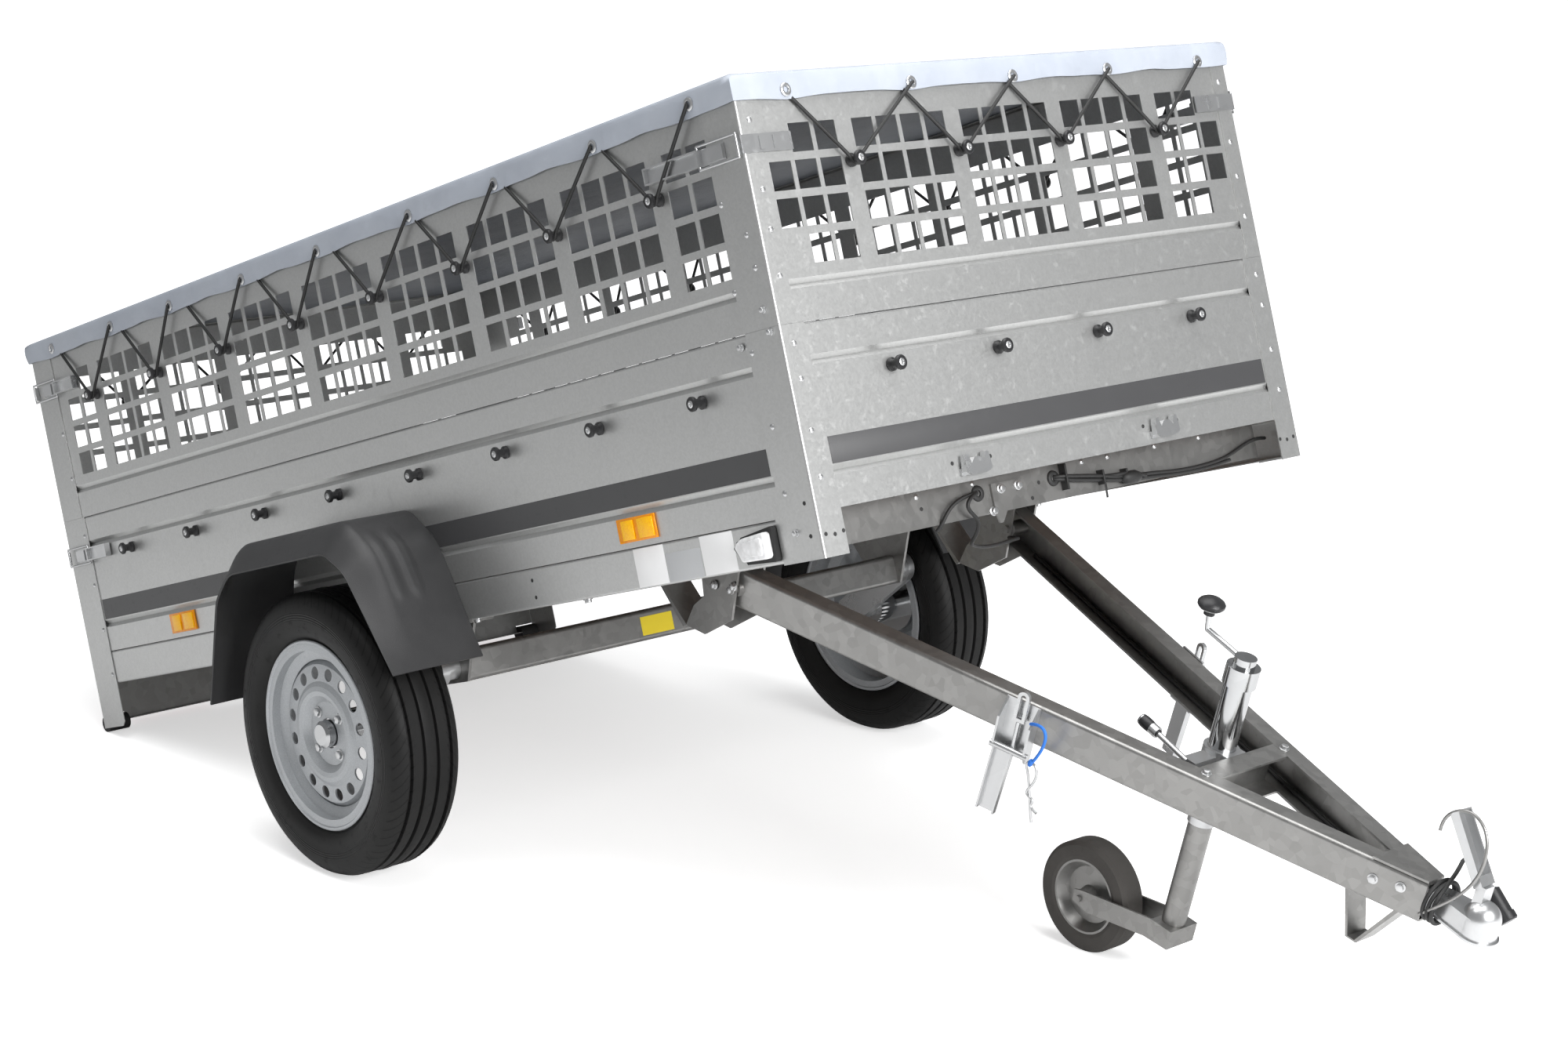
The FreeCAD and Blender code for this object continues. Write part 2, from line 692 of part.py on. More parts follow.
def cover():
    """Flat cover over the upper tier: its lid, and the hem band that hangs down on each side."""
    inner = COVER_STANDOFF
    outer = COVER_STANDOFF + COVER_THICK
    low = MESH_TOP + SEAT + COVER_THICK - COVER_FLAP
    lid = block(REAR - outer, outer, -HALF_WIDTH - outer, HALF_WIDTH + outer,
                MESH_TOP + SEAT, MESH_TOP + SEAT + COVER_THICK)
    front = block(inner, outer, -HALF_WIDTH - outer, HALF_WIDTH + outer, low, MESH_TOP)
    rear = block(REAR - outer, REAR - inner, -HALF_WIDTH - outer, HALF_WIDTH + outer, low, MESH_TOP)
    side = block(REAR - inner + SEAT, inner - SEAT, HALF_WIDTH + inner, HALF_WIDTH + outer, low, MESH_TOP)
    return Part.makeCompound([lid, front, rear, side, mirrored(side)])


def tailgate():
    """Pan-shaped tailgate with its grooves, hinge leaves and knuckles."""
    outer = block(REAR, REAR + GATE_DEPTH, -GATE_HALF, GATE_HALF, GATE_BOTTOM, GATE_TOP)
    hollow = block(REAR + SHEET, REAR + GATE_DEPTH + 1, -GATE_HALF + SHEET, GATE_HALF - SHEET,
                   GATE_BOTTOM + SHEET, GATE_TOP - SHEET)
    pan = outer.cut(hollow)
    for height in (LOWER_GROOVE, UPPER_GROOVE):
        rib = prism_y([(REAR, height - GROOVE_HALF), (REAR + GROOVE_BACK, height),
                       (REAR, height + GROOVE_HALF)], -GATE_HALF + SHEET, GATE_HALF - SHEET)
        groove = prism_y([(REAR - 1, height - GROOVE_HALF), (REAR + GROOVE_DEPTH, height),
                          (REAR - 1, height + GROOVE_HALF)], -GATE_HALF - 1, GATE_HALF + 1)
        pan = pan.fuse(rib).cut(groove)
    half = GATE_KNUCKLE_LENGTH / 2
    notch = block(REAR - 1, REAR + 12, GATE_HINGE_Y - half - 1, GATE_HINGE_Y + half + 1,
                  GATE_BOTTOM - 1, GATE_BOTTOM + 12)
    pan = pan.cut(both_sides(notch))
    parts = [pan]
    for start, end in ((GATE_HINGE_Y - 2 * half, GATE_HINGE_Y - half - 1),
                       (GATE_HINGE_Y + half + 1, GATE_HINGE_Y + 2 * half)):
        knuckle = cylinder((GATE_PIVOT_X, start, GATE_PIVOT_Z), Y_AXIS, GATE_KNUCKLE, end - start)
        leaf = block(REAR - 3, REAR + 1, start, end, GATE_PIVOT_Z, GATE_PIVOT_Z + 34)
        parts += [knuckle, leaf, mirrored(knuckle), mirrored(leaf)]
    bore = cylinder((GATE_PIVOT_X, GATE_HINGE_Y - 60, GATE_PIVOT_Z), Y_AXIS,
                    GATE_PIN + PIN_CLEARANCE, 120)
    return joined(parts).cut(both_sides(bore))


def gate_hinge():
    """Fixed half of the tailgate hinge on the left: leaf, knuckle and pin."""
    half = GATE_KNUCKLE_LENGTH / 2
    leaf = block(GATE_PIVOT_X, REAR_FACE - SEAT, GATE_HINGE_Y - half, GATE_HINGE_Y + half,
                 GATE_PIVOT_Z - 38, GATE_PIVOT_Z - 5)
    knuckle = cylinder((GATE_PIVOT_X, GATE_HINGE_Y - half, GATE_PIVOT_Z), Y_AXIS,
                       GATE_KNUCKLE, GATE_KNUCKLE_LENGTH)
    pin = cylinder((GATE_PIVOT_X, GATE_HINGE_Y - 2 * half - 3, GATE_PIVOT_Z), Y_AXIS,
                   GATE_PIN, 4 * half + 6)
    return joined([leaf, knuckle, pin])


def tyre():
    """Hollow tyre about the Y axis, its beads seated between the rim lips."""
    bead = RIM_HALF - RIM_CURL - RIM_STEEL - SEAT
    outer = [(bead, RIM_SEAT + SEAT), (bead, RIM_LIP - 4.3), (bead + 1.8, RIM_LIP + 3),
             (TYRE_HALF - 4, RIM_LIP + 16), (TYRE_HALF, RIM_LIP + 40), (TYRE_HALF - 1, TYRE_RADIUS - 36),
             (TYRE_HALF - 6, TYRE_RADIUS - 17), (TYRE_HALF - 17, TYRE_RADIUS - 4), (30, TYRE_RADIUS)]
    inner = [(bead - TYRE_WALL, RIM_SEAT + SEAT), (bead - TYRE_WALL, RIM_LIP),
             (TYRE_HALF - 4 - TYRE_WALL, RIM_LIP + 20), (TYRE_HALF - TYRE_WALL, RIM_LIP + 40),
             (TYRE_HALF - 3 - TYRE_WALL, TYRE_RADIUS - 34), (TYRE_HALF - 20 - TYRE_WALL, TYRE_RADIUS - 15)]
    across = [(-along, radius) for along, radius in outer[::-1]]
    inside = [(-along, radius) for along, radius in inner] + inner[::-1]
    return turned(outer + across + inside, (AXLE_X, WHEEL_Y, AXLE_Z), Y_AXIS)


def rim():
    """Pressed steel wheel: barrel with a drop well, and a dished disc with round holes."""
    steel = RIM_STEEL
    wall = RIM_HALF - RIM_CURL
    flange = [(wall, RIM_SEAT - steel), (wall, RIM_LIP - 8), (RIM_HALF, RIM_LIP - 6),
              (RIM_HALF, RIM_LIP - 2), (RIM_HALF - 1.6, RIM_LIP), (wall - 1.5, RIM_LIP),
              (wall - steel, RIM_LIP - 4.5), (wall - steel, RIM_SEAT)]
    well = [(46, RIM_SEAT - 0.5), (38, RIM_WELL), (-12, RIM_WELL), (-24, RIM_SEAT - 0.5)]
    under = [(-26, RIM_SEAT - steel - 0.5), (-14, RIM_WELL - steel), (40, RIM_WELL - steel),
             (48, RIM_SEAT - steel - 0.5)]
    far_flange = [(-along, radius) for along, radius in flange[::-1]]
    barrel = turned(flange + well + far_flange + under, (AXLE_X, WHEEL_Y, AXLE_Z), Y_AXIS)
    crest, ring = DISC_FACE + DISC_DISH, DISC_FACE + DISC_DISH / 2
    front = [(DISC_FACE, HUB_HOLE), (DISC_FACE, 61), (crest - 2, 74), (crest, 83), (crest - 2, 92),
             (ring, 101), (ring - 3, 133), (DISC_FACE - 8, RIM_WELL - steel + 0.5)]
    back = [(along - steel, radius) for along, radius in front[::-1]]
    disc = turned(front + back, (AXLE_X, WHEEL_Y, AXLE_Z), Y_AXIS)
    holes = []
    for index in range(DISC_HOLES):
        angle = 2 * math.pi * index / DISC_HOLES
        x = AXLE_X + DISC_HOLE_CIRCLE * math.cos(angle)
        z = AXLE_Z + DISC_HOLE_CIRCLE * math.sin(angle)
        holes.append(cylinder((x, WHEEL_Y, z), Y_AXIS, DISC_HOLE_RADIUS, RIM_HALF))
    return joined([barrel, disc.cut(Part.makeCompound(holes))])


def hub():
    """Wheel hub with its bolt flange, barrel and grease cap, bored for the spindle."""
    flange = cylinder((AXLE_X, HUB_SEAT - HUB_FLANGE_THICK, AXLE_Z), Y_AXIS, HUB_FLANGE, HUB_FLANGE_THICK)
    barrel = cylinder((AXLE_X, HUB_BACK, AXLE_Z), Y_AXIS, HUB_BARREL, HUB_BARREL_LENGTH)
    cap = turned([(0, 0), (0, HUB_CAP), (HUB_CAP_LENGTH - 5, HUB_CAP),
                  (HUB_CAP_LENGTH, HUB_CAP - 6), (HUB_CAP_LENGTH, 0)], (AXLE_X, HUB_SEAT, AXLE_Z), Y_AXIS)
    bore = cylinder((AXLE_X, HUB_BACK - 1, AXLE_Z), Y_AXIS, SPINDLE + PIN_CLEARANCE,
                    HUB_BARREL_LENGTH - 4)
    return joined([flange, barrel, cap]).cut(bore)


def axle():
    """Square axle tube between its two end brackets, which hang it under the rails."""
    half = BEAM_SIZE / 2
    beam = block(BEAM_X - half, BEAM_X + half, -BEAM_HALF, BEAM_HALF, BEAM_Z - half, BEAM_Z + half)
    beam = beam.makeFillet(BEAM_ROUND, [edge for edge in beam.Edges if edge.BoundBox.YLength > BEAM_HALF])
    inside = half - BEAM_WALL
    beam = beam.cut(block(BEAM_X - inside, BEAM_X + inside, -BEAM_HALF - 1, BEAM_HALF + 1,
                          BEAM_Z - inside, BEAM_Z + inside))
    top = -SEAT
    plate = prism_y([(BEAM_X - BRACKET_REACH, top), (BEAM_X + BRACKET_REACH, top),
                     (BEAM_X + half + 5, BEAM_Z - half), (BEAM_X - half - 5, BEAM_Z - half)],
                    BEAM_HALF, BEAM_HALF + BRACKET_THICK)
    foot = block(BEAM_X - BRACKET_REACH, BEAM_X + BRACKET_REACH, BEAM_HALF - BRACKET_FOOT, SIDE_FACE,
                 top - BRACKET_THICK, top)
    bore = cylinder((BEAM_X, -HALF_WIDTH, BEAM_Z), Y_AXIS, SWING_STUB + SEAT, BOX_WIDTH)
    return joined([beam, plate, foot, mirrored(plate), mirrored(foot)]).cut(bore)


def swing_arm():
    """Trailing arm on the left, from its pivot in the axle tube to the wheel spindle."""
    dx, dz = AXLE_X - BEAM_X, AXLE_Z - BEAM_Z
    length = math.hypot(dx, dz)
    side_x, side_z = -dz / length * SWING_EYE, dx / length * SWING_EYE
    bar = prism_y([(BEAM_X + side_x, BEAM_Z + side_z), (AXLE_X + side_x, AXLE_Z + side_z),
                   (AXLE_X - side_x, AXLE_Z - side_z), (BEAM_X - side_x, BEAM_Z - side_z)],
                  SWING_INNER, SWING_OUTER)
    width = SWING_OUTER - SWING_INNER
    eyes = [cylinder((x, SWING_INNER, z), Y_AXIS, SWING_EYE, width)
            for x, z in ((BEAM_X, BEAM_Z), (AXLE_X, AXLE_Z))]
    stub = cylinder((BEAM_X, SWING_INNER - SWING_STUB_LENGTH, BEAM_Z), Y_AXIS, SWING_STUB,
                    SWING_STUB_LENGTH)
    shoulder = cylinder((AXLE_X, SWING_OUTER, AXLE_Z), Y_AXIS, SPINDLE_SHOULDER,
                        HUB_BACK - SEAT - SWING_OUTER)
    spindle = cylinder((AXLE_X, SWING_OUTER, AXLE_Z), Y_AXIS, SPINDLE,
                       HUB_BACK + HUB_BARREL_LENGTH - 7 - SWING_OUTER)
    return joined([bar] + eyes + [stub, shoulder, spindle])


def guard_wire(half_outline, y, inset, drop):
    """Closed guard outline at y, inset evenly and with its feet lowered by drop."""
    foot_reach, foot_height = half_outline[0]
    front = [(foot_reach - inset, foot_height - drop)]
    front += [(reach - inset, height - inset) for reach, height in half_outline[1:]]
    corners = [V(AXLE_X + reach, y, height) for reach, height in front]
    corners += [V(AXLE_X - reach, y, height) for reach, height in front[::-1]]
    return Part.makePolygon(corners + [corners[0]])


def guard_body(start, shoulder, end, inset, drop):
    roof = Part.makeLoft([guard_wire(GUARD_ROOF, start, inset, drop),
                          guard_wire(GUARD_ROOF, shoulder, inset, drop)], True, True)
    lip = Part.makeLoft([guard_wire(GUARD_ROOF, shoulder, inset, drop),
                         guard_wire(GUARD_LIP, end, inset, drop)], True, True)
    return joined([roof, lip])


def mudguard():
    """Moulded guard on the left: a level roof with sloping ends, bevelled down to its lip."""
    start = SIDE_FACE + SEAT
    shoulder = HALF_WIDTH + GUARD_SHOULDER
    end = HALF_WIDTH + GUARD_WIDTH
    outer = guard_body(start, shoulder, end, 0, 0)
    return outer.cut(guard_body(start - 1, shoulder, end + 1, GUARD_SKIN, 1))


def hinge_bracket():
    """Tilt bracket on the left: two cheeks, a brace behind, a roof plate and the pin."""
    outer = CHEEK_OUTER + CHEEK_THICK
    cheeks = [prism_y(CHEEK_OUTLINE, CHEEK_OUTER, outer),
              prism_y(CHEEK_OUTLINE, CHEEK_INNER, CHEEK_INNER + CHEEK_THICK)]
    wall = CHEEK_THICK
    brace = prism_y([(BRACE_TOP, CHEEK_TOP), (BRACE_FOOT - wall, -84.0), (BRACE_FOOT + wall, -82.0),
                     (BRACE_TOP + wall, CHEEK_TOP)], CHEEK_INNER, outer)
    roof = block(BRACE_TOP, CHEEK_OUTLINE[0][0], CHEEK_INNER, outer, CHEEK_TOP, CROSS_BOTTOM - SEAT)
    pin = cylinder((PIN_X, CHEEK_INNER - 6, PIN_Z), Y_AXIS, PIN_RADIUS, outer - CHEEK_INNER + 12)
    return joined(cheeks + [brace, roof, pin])


def front_hook():
    """Cast hook on the front of the box, where an arm clamp catches, on the left."""
    middle = HALF_WIDTH - HOOK_INSET
    face = FRONT_FACE + SEAT
    half, top = HOOK_HALF, HOOK_LOW + HOOK_HEIGHT
    floor = HOOK_LOW + HOOK_THICK
    plate = block(face, face + HOOK_PLATE, middle - half, middle + half, HOOK_LOW, floor)
    outline = [(-half, floor - half / 5), (-0.87 * half, top), (-0.65 * half, top), (-half / 2, top - half / 2),
               (-half / 5, top - half / 5), (half / 5, top - half / 5), (half / 2, top - half / 2),
               (0.65 * half, top), (0.87 * half, top), (half, floor - half / 5), (0.65 * half, HOOK_LOW),
               (-0.65 * half, HOOK_LOW)]
    prongs = prism_x([(middle + y, z) for y, z in outline], face + HOOK_PLATE, face + HOOK_PLATE + HOOK_THICK)
    return joined([plate, prongs])


def guide_plate():
    """Pointed plate on the front channel that centres the lowered box on the drawbar's right arm."""
    face = -CROSS_SETBACK + SEAT
    side = GUIDE_INSET - HALF_WIDTH
    low = GUIDE_TOP - GUIDE_LENGTH
    return prism_x([(side, GUIDE_TOP), (side + GUIDE_WIDTH, GUIDE_TOP),
                    (side + GUIDE_WIDTH, GUIDE_TOP - 0.09 * GUIDE_LENGTH),
                    (side + 0.61 * GUIDE_WIDTH, GUIDE_TOP - 0.38 * GUIDE_LENGTH),
                    (side + 0.17 * GUIDE_WIDTH, low), (side + 0.08 * GUIDE_WIDTH, low),
                    (side, GUIDE_TOP - 0.7 * GUIDE_LENGTH)], face, face + GUIDE_THICK)


def lamp_outline(back, front, low, high):
    """Outline of a lamp that narrows towards its back end."""
    length, height = front - back, high - low
    return [(front, low + 0.08 * height), (front - 0.04 * length, low),
            (back + 0.2 * length, low + 0.05 * height),
            (back, low + 0.6 * height), (back + 0.14 * length, low + 0.84 * height),
            (front - 0.04 * length, high), (front, high - 0.08 * height)]


def marker_lamp():
    """Front marker lamp in its rubber housing on the left rail."""
    base = SIDE_FACE + SEAT
    back = MARKER_FRONT - MARKER_LENGTH
    rim = 1.3 * LAMP_RIM
    housing = prism_y(lamp_outline(back, MARKER_FRONT, MARKER_LOW, MARKER_HIGH), base, base + MARKER_BASE)
    lens = prism_y(lamp_outline(back + rim, MARKER_FRONT - rim, MARKER_LOW + rim, MARKER_HIGH - rim),
                   base + MARKER_BASE, base + MARKER_BASE + MARKER_LENS)
    return joined([housing, lens])


def rear_lamp():
    """Rear lamp with its housing on the left of the light beam."""
    seat = REAR_FACE - SEAT
    outer = HALF_WIDTH - REAR_LAMP_INSET
    inner = outer - REAR_LAMP_WIDTH
    back = block(seat - REAR_LAMP_BACK, seat, inner, outer, REAR_LAMP_LOW, REAR_LAMP_HIGH)
    lens = block(seat - REAR_LAMP_BACK - REAR_LAMP_LENS, seat - REAR_LAMP_BACK, inner + LAMP_RIM,
                 outer - LAMP_RIM, REAR_LAMP_LOW + LAMP_RIM, REAR_LAMP_HIGH - LAMP_RIM)
    return joined([back, lens])


def latch(turn, reach, height, stop):
    """Toggle latch on the left side at a corner: base plate, lever channel and wire bail."""
    base = HALF_WIDTH + SEAT
    face = base + LATCH_PLATE
    wire = HALF_WIDTH + BAIL_OUT
    low, high = height - LATCH_HALF, height + LATCH_HALF
    rim = LATCH_RIM
    plate = block(-reach, -LATCH_CATCH, base, face, low, high)
    lever = block(-reach, -LATCH_HINGE, face, face + LATCH_DEPTH, low, high)
    pocket = block(-reach + rim, -LATCH_HINGE - 2 * rim, face + rim, face + LATCH_DEPTH + 1,
                   low + rim, high - rim)
    catch = block(-LATCH_HINGE + 20, -LATCH_CATCH, face, face + 5, low + rim, high - rim)
    inner, outer = (-LATCH_HINGE - rim, wire, height), (stop, wire, height)
    bail = []
    for side in (-BAIL_HALF, BAIL_HALF):
        bail.append(rod((inner[0], wire, height + side), (outer[0], wire, height + side), BAIL_WIRE))
    for end in (inner, outer):
        bail.append(rod((end[0], wire, height - BAIL_HALF), (end[0], wire, height + BAIL_HALF), BAIL_WIRE))
        for side in (-BAIL_HALF, BAIL_HALF):
            bail.append(Part.makeSphere(BAIL_WIRE, V(end[0], wire, height + side)))
    whole = joined([plate, lever.cut(pocket), catch] + bail)
    return turned_end(whole, turn)


def turned_end(shape, turn):
    """The same shape at the front corner for 1, or mirrored to the rear corner for -1."""
    if turn > 0:
        return shape
    return shape.mirror(V(REAR / 2, 0, 0), X_AXIS)


def latch_strap(turn, height):
    """Ribbed strap on the corner's face, folded round the corner to a lip for the bail, on the left."""
    low, high = height - STRAP_HALF, height + STRAP_HALF
    thick = STRAP_THICK
    inner, outer = HALF_WIDTH - STRAP_INNER, HALF_WIDTH + SEAT + thick
    face = block(SEAT, SEAT + thick, inner, outer, low, high)
    fold = block(-LATCH_PLATE - 2 * BAIL_WIRE - thick, SEAT + thick, HALF_WIDTH + SEAT, outer, low, high)
    lip = block(-LATCH_PLATE - 2 * BAIL_WIRE - thick, -LATCH_PLATE - 2 * BAIL_WIRE, outer,
                outer + LATCH_DEPTH / 2, low, high)
    ribs = [block(SEAT + thick, SEAT + 2 * thick, HALF_WIDTH - place - 4, HALF_WIDTH - place + 4, low + 4, high - 4)
            for place in STRAP_RIBS]
    return turned_end(joined([face, fold, lip] + ribs), turn)


def toggle_latches():
    shapes = [latch(1, LATCH_REACH, LATCH_HIGH, -2 * BAIL_WIRE + SEAT), latch_strap(1, LATCH_HIGH),
              latch(-1, LATCH_REACH_REAR, LATCH_HIGH, -2 * BAIL_WIRE + SEAT), latch_strap(-1, LATCH_HIGH),
              latch(-1, LATCH_REACH_REAR, LATCH_LOW, -12.0)]
    return both_sides(Part.makeCompound(shapes))


def gate_catch():
    """Strap on the tailgate that its latch pulls on, standing off the post, on the left."""
    low, high = LATCH_LOW - STRAP_HALF, LATCH_LOW + STRAP_HALF
    near = REAR - SEAT
    off = near - GATE_CLEARANCE
    step = HALF_WIDTH - STRAP_JOGGLE
    flat = block(near - STRAP_THICK, near, HALF_WIDTH - STRAP_INNER, step, low, high)
    riser = block(off - STRAP_THICK, near, step - STRAP_THICK, step, low, high)
    end = block(off - STRAP_THICK, off, step - STRAP_THICK, HALF_WIDTH, low, high)
    return joined([flat, riser, end])


def buffer():
    return cylinder((BUFFER_X, BUFFER_INNER, BUFFER_Z), Y_AXIS, BUFFER_RADIUS, BUFFER_LENGTH)


def drawbar_arm():
    """Left arm of the drawbar, a channel open inwards, with the bush at its heel."""
    heel = PIN_U - ARM_HEEL

    def side(u, depth):
        return (u, inner_spread(u, depth))

    web = prism_z([side(heel, 0), side(ARM_END, 0), side(ARM_END, ARM_WALL), side(heel, ARM_WALL)],
                  -ARM_HEIGHT, 0)
    flange = [side(heel, 0), side(ARM_END, 0), side(ARM_END, ARM_FLANGE), side(heel, ARM_FLANGE)]
    upper = prism_z(flange, -ARM_WALL, 0)
    lower = prism_z(flange, -ARM_HEIGHT, -ARM_HEIGHT + ARM_WALL)
    gap = 1.5
    start = CHEEK_INNER + CHEEK_THICK + gap
    bush = cylinder((PIN_U, start, PIN_W), Y_AXIS, BUSH_RADIUS, CHEEK_OUTER - gap - start)
    bore = cylinder((PIN_U, 0, PIN_W), Y_AXIS, PIN_RADIUS + PIN_CLEARANCE, HALF_WIDTH)
    channel = rounded(joined([web, upper, lower]), ARM_BEND,
                      lambda box, middle: box.XLength > ARM_END / 2
                      and middle.y > spread(middle.x) - 0.1
                      and (middle.z > -0.1 or middle.z < 0.1 - ARM_HEIGHT))
    body = joined([channel, bush]).cut(bore)
    left_half = block(heel - 50, ARM_END + 50, SEAT / 2, HALF_WIDTH, -ARM_HEIGHT - 10, 10)
    return body.common(left_half)


def drawbar_cross():
    """Cross channel between the arms, open forwards, that carries the jockey clamp."""
    def half(u):
        return inner_spread(u, ARM_FLANGE) - SEAT

    outline = [(CROSS_START, -half(CROSS_START)), (CROSS_END, -half(CROSS_END)),
               (CROSS_END, half(CROSS_END)), (CROSS_START, half(CROSS_START))]
    hollow = block(CROSS_START + ARM_WALL, CROSS_END + 1, -HALF_WIDTH, HALF_WIDTH,
                   -ARM_HEIGHT + ARM_WALL, -ARM_WALL)
    return prism_z(outline, -ARM_HEIGHT, 0).cut(hollow)


def nose_plate():
    """Plate welded over the meeting arms at the nose."""
    outline = [(NOSE_START, -spread(NOSE_START)), (ARM_END, -spread(ARM_END)),
               (ARM_END, spread(ARM_END)), (NOSE_START, spread(NOSE_START))]
    return prism_z(outline, SEAT, SEAT + NOSE_THICK)


def coupler():
    """Pressed ball coupler with its bolted tongue, domed housing, lip and ball socket."""
    def inside(u):
        return inner_spread(u, ARM_WALL) - SEAT

    tongue = prism_z([(TONGUE_START, -inside(TONGUE_START)), (ARM_END, -inside(ARM_END)),
                      (ARM_END, inside(ARM_END)), (TONGUE_START, inside(TONGUE_START))],
                     COUPLER_BOTTOM, TONGUE_TOP)
    neck = prism_z([(ARM_END, -inside(ARM_END)), (BALL_U, -COUPLER_BODY), (BALL_U, COUPLER_BODY),
                    (ARM_END, inside(ARM_END))], COUPLER_BOTTOM, TONGUE_TOP)
    lip_edge = prism_z([(ARM_END + 6, -inside(ARM_END) - 4), (BALL_U, -COUPLER_LIP),
                        (BALL_U, COUPLER_LIP), (ARM_END + 6, inside(ARM_END) + 4)],
                       COUPLER_BOTTOM, COUPLER_BOTTOM + COUPLER_LIP_THICK)
    lip = cylinder((BALL_U, 0, COUPLER_BOTTOM), Z_AXIS, COUPLER_LIP, COUPLER_LIP_THICK)
    housing = cylinder((BALL_U, 0, COUPLER_BOTTOM), Z_AXIS, COUPLER_BODY, COUPLER_DOME - COUPLER_BOTTOM)
    dome = Part.makeSphere(COUPLER_BODY, V(BALL_U, 0, COUPLER_DOME))
    body = joined([tongue, neck, lip_edge, lip, housing, dome])
    mouth = cylinder((BALL_U, 0, COUPLER_BOTTOM - 1), Z_AXIS, SOCKET_RADIUS, SOCKET_DEPTH + 1)
    crown = Part.makeSphere(SOCKET_RADIUS, V(BALL_U, 0, COUPLER_BOTTOM + SOCKET_DEPTH))
    return body.cut(mouth.fuse(crown))


def coupler_handle():
    """Raised release handle of the coupler, an open channel on its bracket."""
    half = HANDLE_WIDTH / 2
    heel = (BALL_U - HANDLE_BACK, COUPLER_DOME + HANDLE_RISE)
    lean = radians(HANDLE_LEAN)
    along = (-math.cos(lean), math.sin(lean))
    across = (math.sin(lean), math.cos(lean))

    def corner(run, depth):
        return (heel[0] + run * along[0] + depth * across[0], heel[1] + run * along[1] + depth * across[1])

    grip = prism_y([corner(0, 0), corner(0, HANDLE_DEPTH), corner(HANDLE_LENGTH, HANDLE_DEPTH),
                    corner(HANDLE_LENGTH, 0)], -half, half)
    channel = prism_y([corner(HANDLE_DEPTH, HANDLE_RIM), corner(HANDLE_DEPTH, HANDLE_DEPTH + 1),
                       corner(HANDLE_LENGTH - HANDLE_RIM, HANDLE_DEPTH + 1),
                       corner(HANDLE_LENGTH - HANDLE_RIM, HANDLE_RIM)], -half + HANDLE_RIM, half - HANDLE_RIM)
    foot = heel[0] + HANDLE_DEPTH / 2
    crown = COUPLER_DOME + COUPLER_BODY
    bracket = block(foot - HANDLE_DEPTH / 2, foot + HANDLE_DEPTH / 2, -half * 0.7, half * 0.7, crown - 8,
                    heel[1] + HANDLE_DEPTH / 2)
    dome = Part.makeSphere(COUPLER_BODY + SEAT, V(BALL_U, 0, COUPLER_DOME))
    return joined([grip.cut(channel), bracket.cut(dome)])


def stirrup():
    """Bent strap under the nose that rests the drawbar on the ground."""
    top = -ARM_HEIGHT - SEAT
    heel, toe, low = STIRRUP_HEEL, STIRRUP_TOE, -STIRRUP_DROP
    outline = [(heel, top), (heel + 30, low), (toe - 56, low), (toe, top), (toe - 8, top),
               (toe - 60, low + 3), (heel + 34, low + 3), (heel + 7, top)]
    return prism_y(outline, -STIRRUP_HALF, STIRRUP_HALF)


def arm_clamp():
    """Over-centre clamp on the outer face of the left arm: channel, eye bolt, roller and lever."""
    half, low, ear, eye = ARM_CLAMP_HALF, -ARM_CLAMP_LOW, ARM_CLAMP_EAR, ARM_CLAMP_EYE
    plate = block(-half, half, 0, 4, low, -1)
    profile = [(3, -1), (ear, low / 3), (ear, low + 19), (ear - 10, low), (3, low)]
    ears = [prism_x(profile, -half, 4 - half), prism_x(profile, half - 4, half)]
    roller = cylinder((-half - 4, ear - 6, low + 15), X_AXIS, 6, 2 * half + 8)
    bolt = rod((3, ear - 12, low + 15), (3, ear - 12, low / 3), 4)
    top, foot = ARM_CLAMP_EYE_TOP, low / 3
    link = block(3 - eye, 3 + eye, ear - 16, ear - 9, foot, top - eye)
    link = link.fuse(cylinder((3, ear - 16, top - eye), Y_AXIS, eye, 7))
    hole = block(9 - eye, eye - 3, ear - 17, ear - 8, foot + 6, top - eye)
    hole = hole.fuse(cylinder((3, ear - 17, top - eye), Y_AXIS, eye - 6, 9))
    end = -ARM_CLAMP_LEVER
    left, right = 3 - half, half - 24
    strap = prism_y([(left, low + 12), (right, low + 12), (right - 8, end), (left - 5, end)], ear - 12, ear - 9)
    rims = [prism_y([(x, low + 12), (x + 3, low + 12), (x + 3 - shift, end), (x - shift, end)],
                    ear - 12, ear - 1)
            for x, shift in ((left, 5), (right - 3, 8))]
    whole = joined([plate] + ears + [roller, bolt, link.cut(hole), strap] + rims)
    whole.rotate(V(0, 0, 0), Z_AXIS, -math.degrees(math.acos(1 / ARM_SLANT)))
    whole.translate(V(ARM_CLAMP_U, spread(ARM_CLAMP_U) + SEAT * ARM_SLANT, 0))
    return whole


def wind_point(turns):
    """Corner of the cable's winding round the coupler's neck, after so many turns from below."""
    angle = 2 * math.pi * turns
    return V(WIND_START + WIND_PITCH * turns, -WIND_RADIUS * math.sin(angle),
             WIND_HEIGHT - WIND_RADIUS * math.cos(angle))


def plug_axis():
    droop = radians(PLUG_DROOP)
    return V(math.cos(droop), 0, -math.sin(droop))


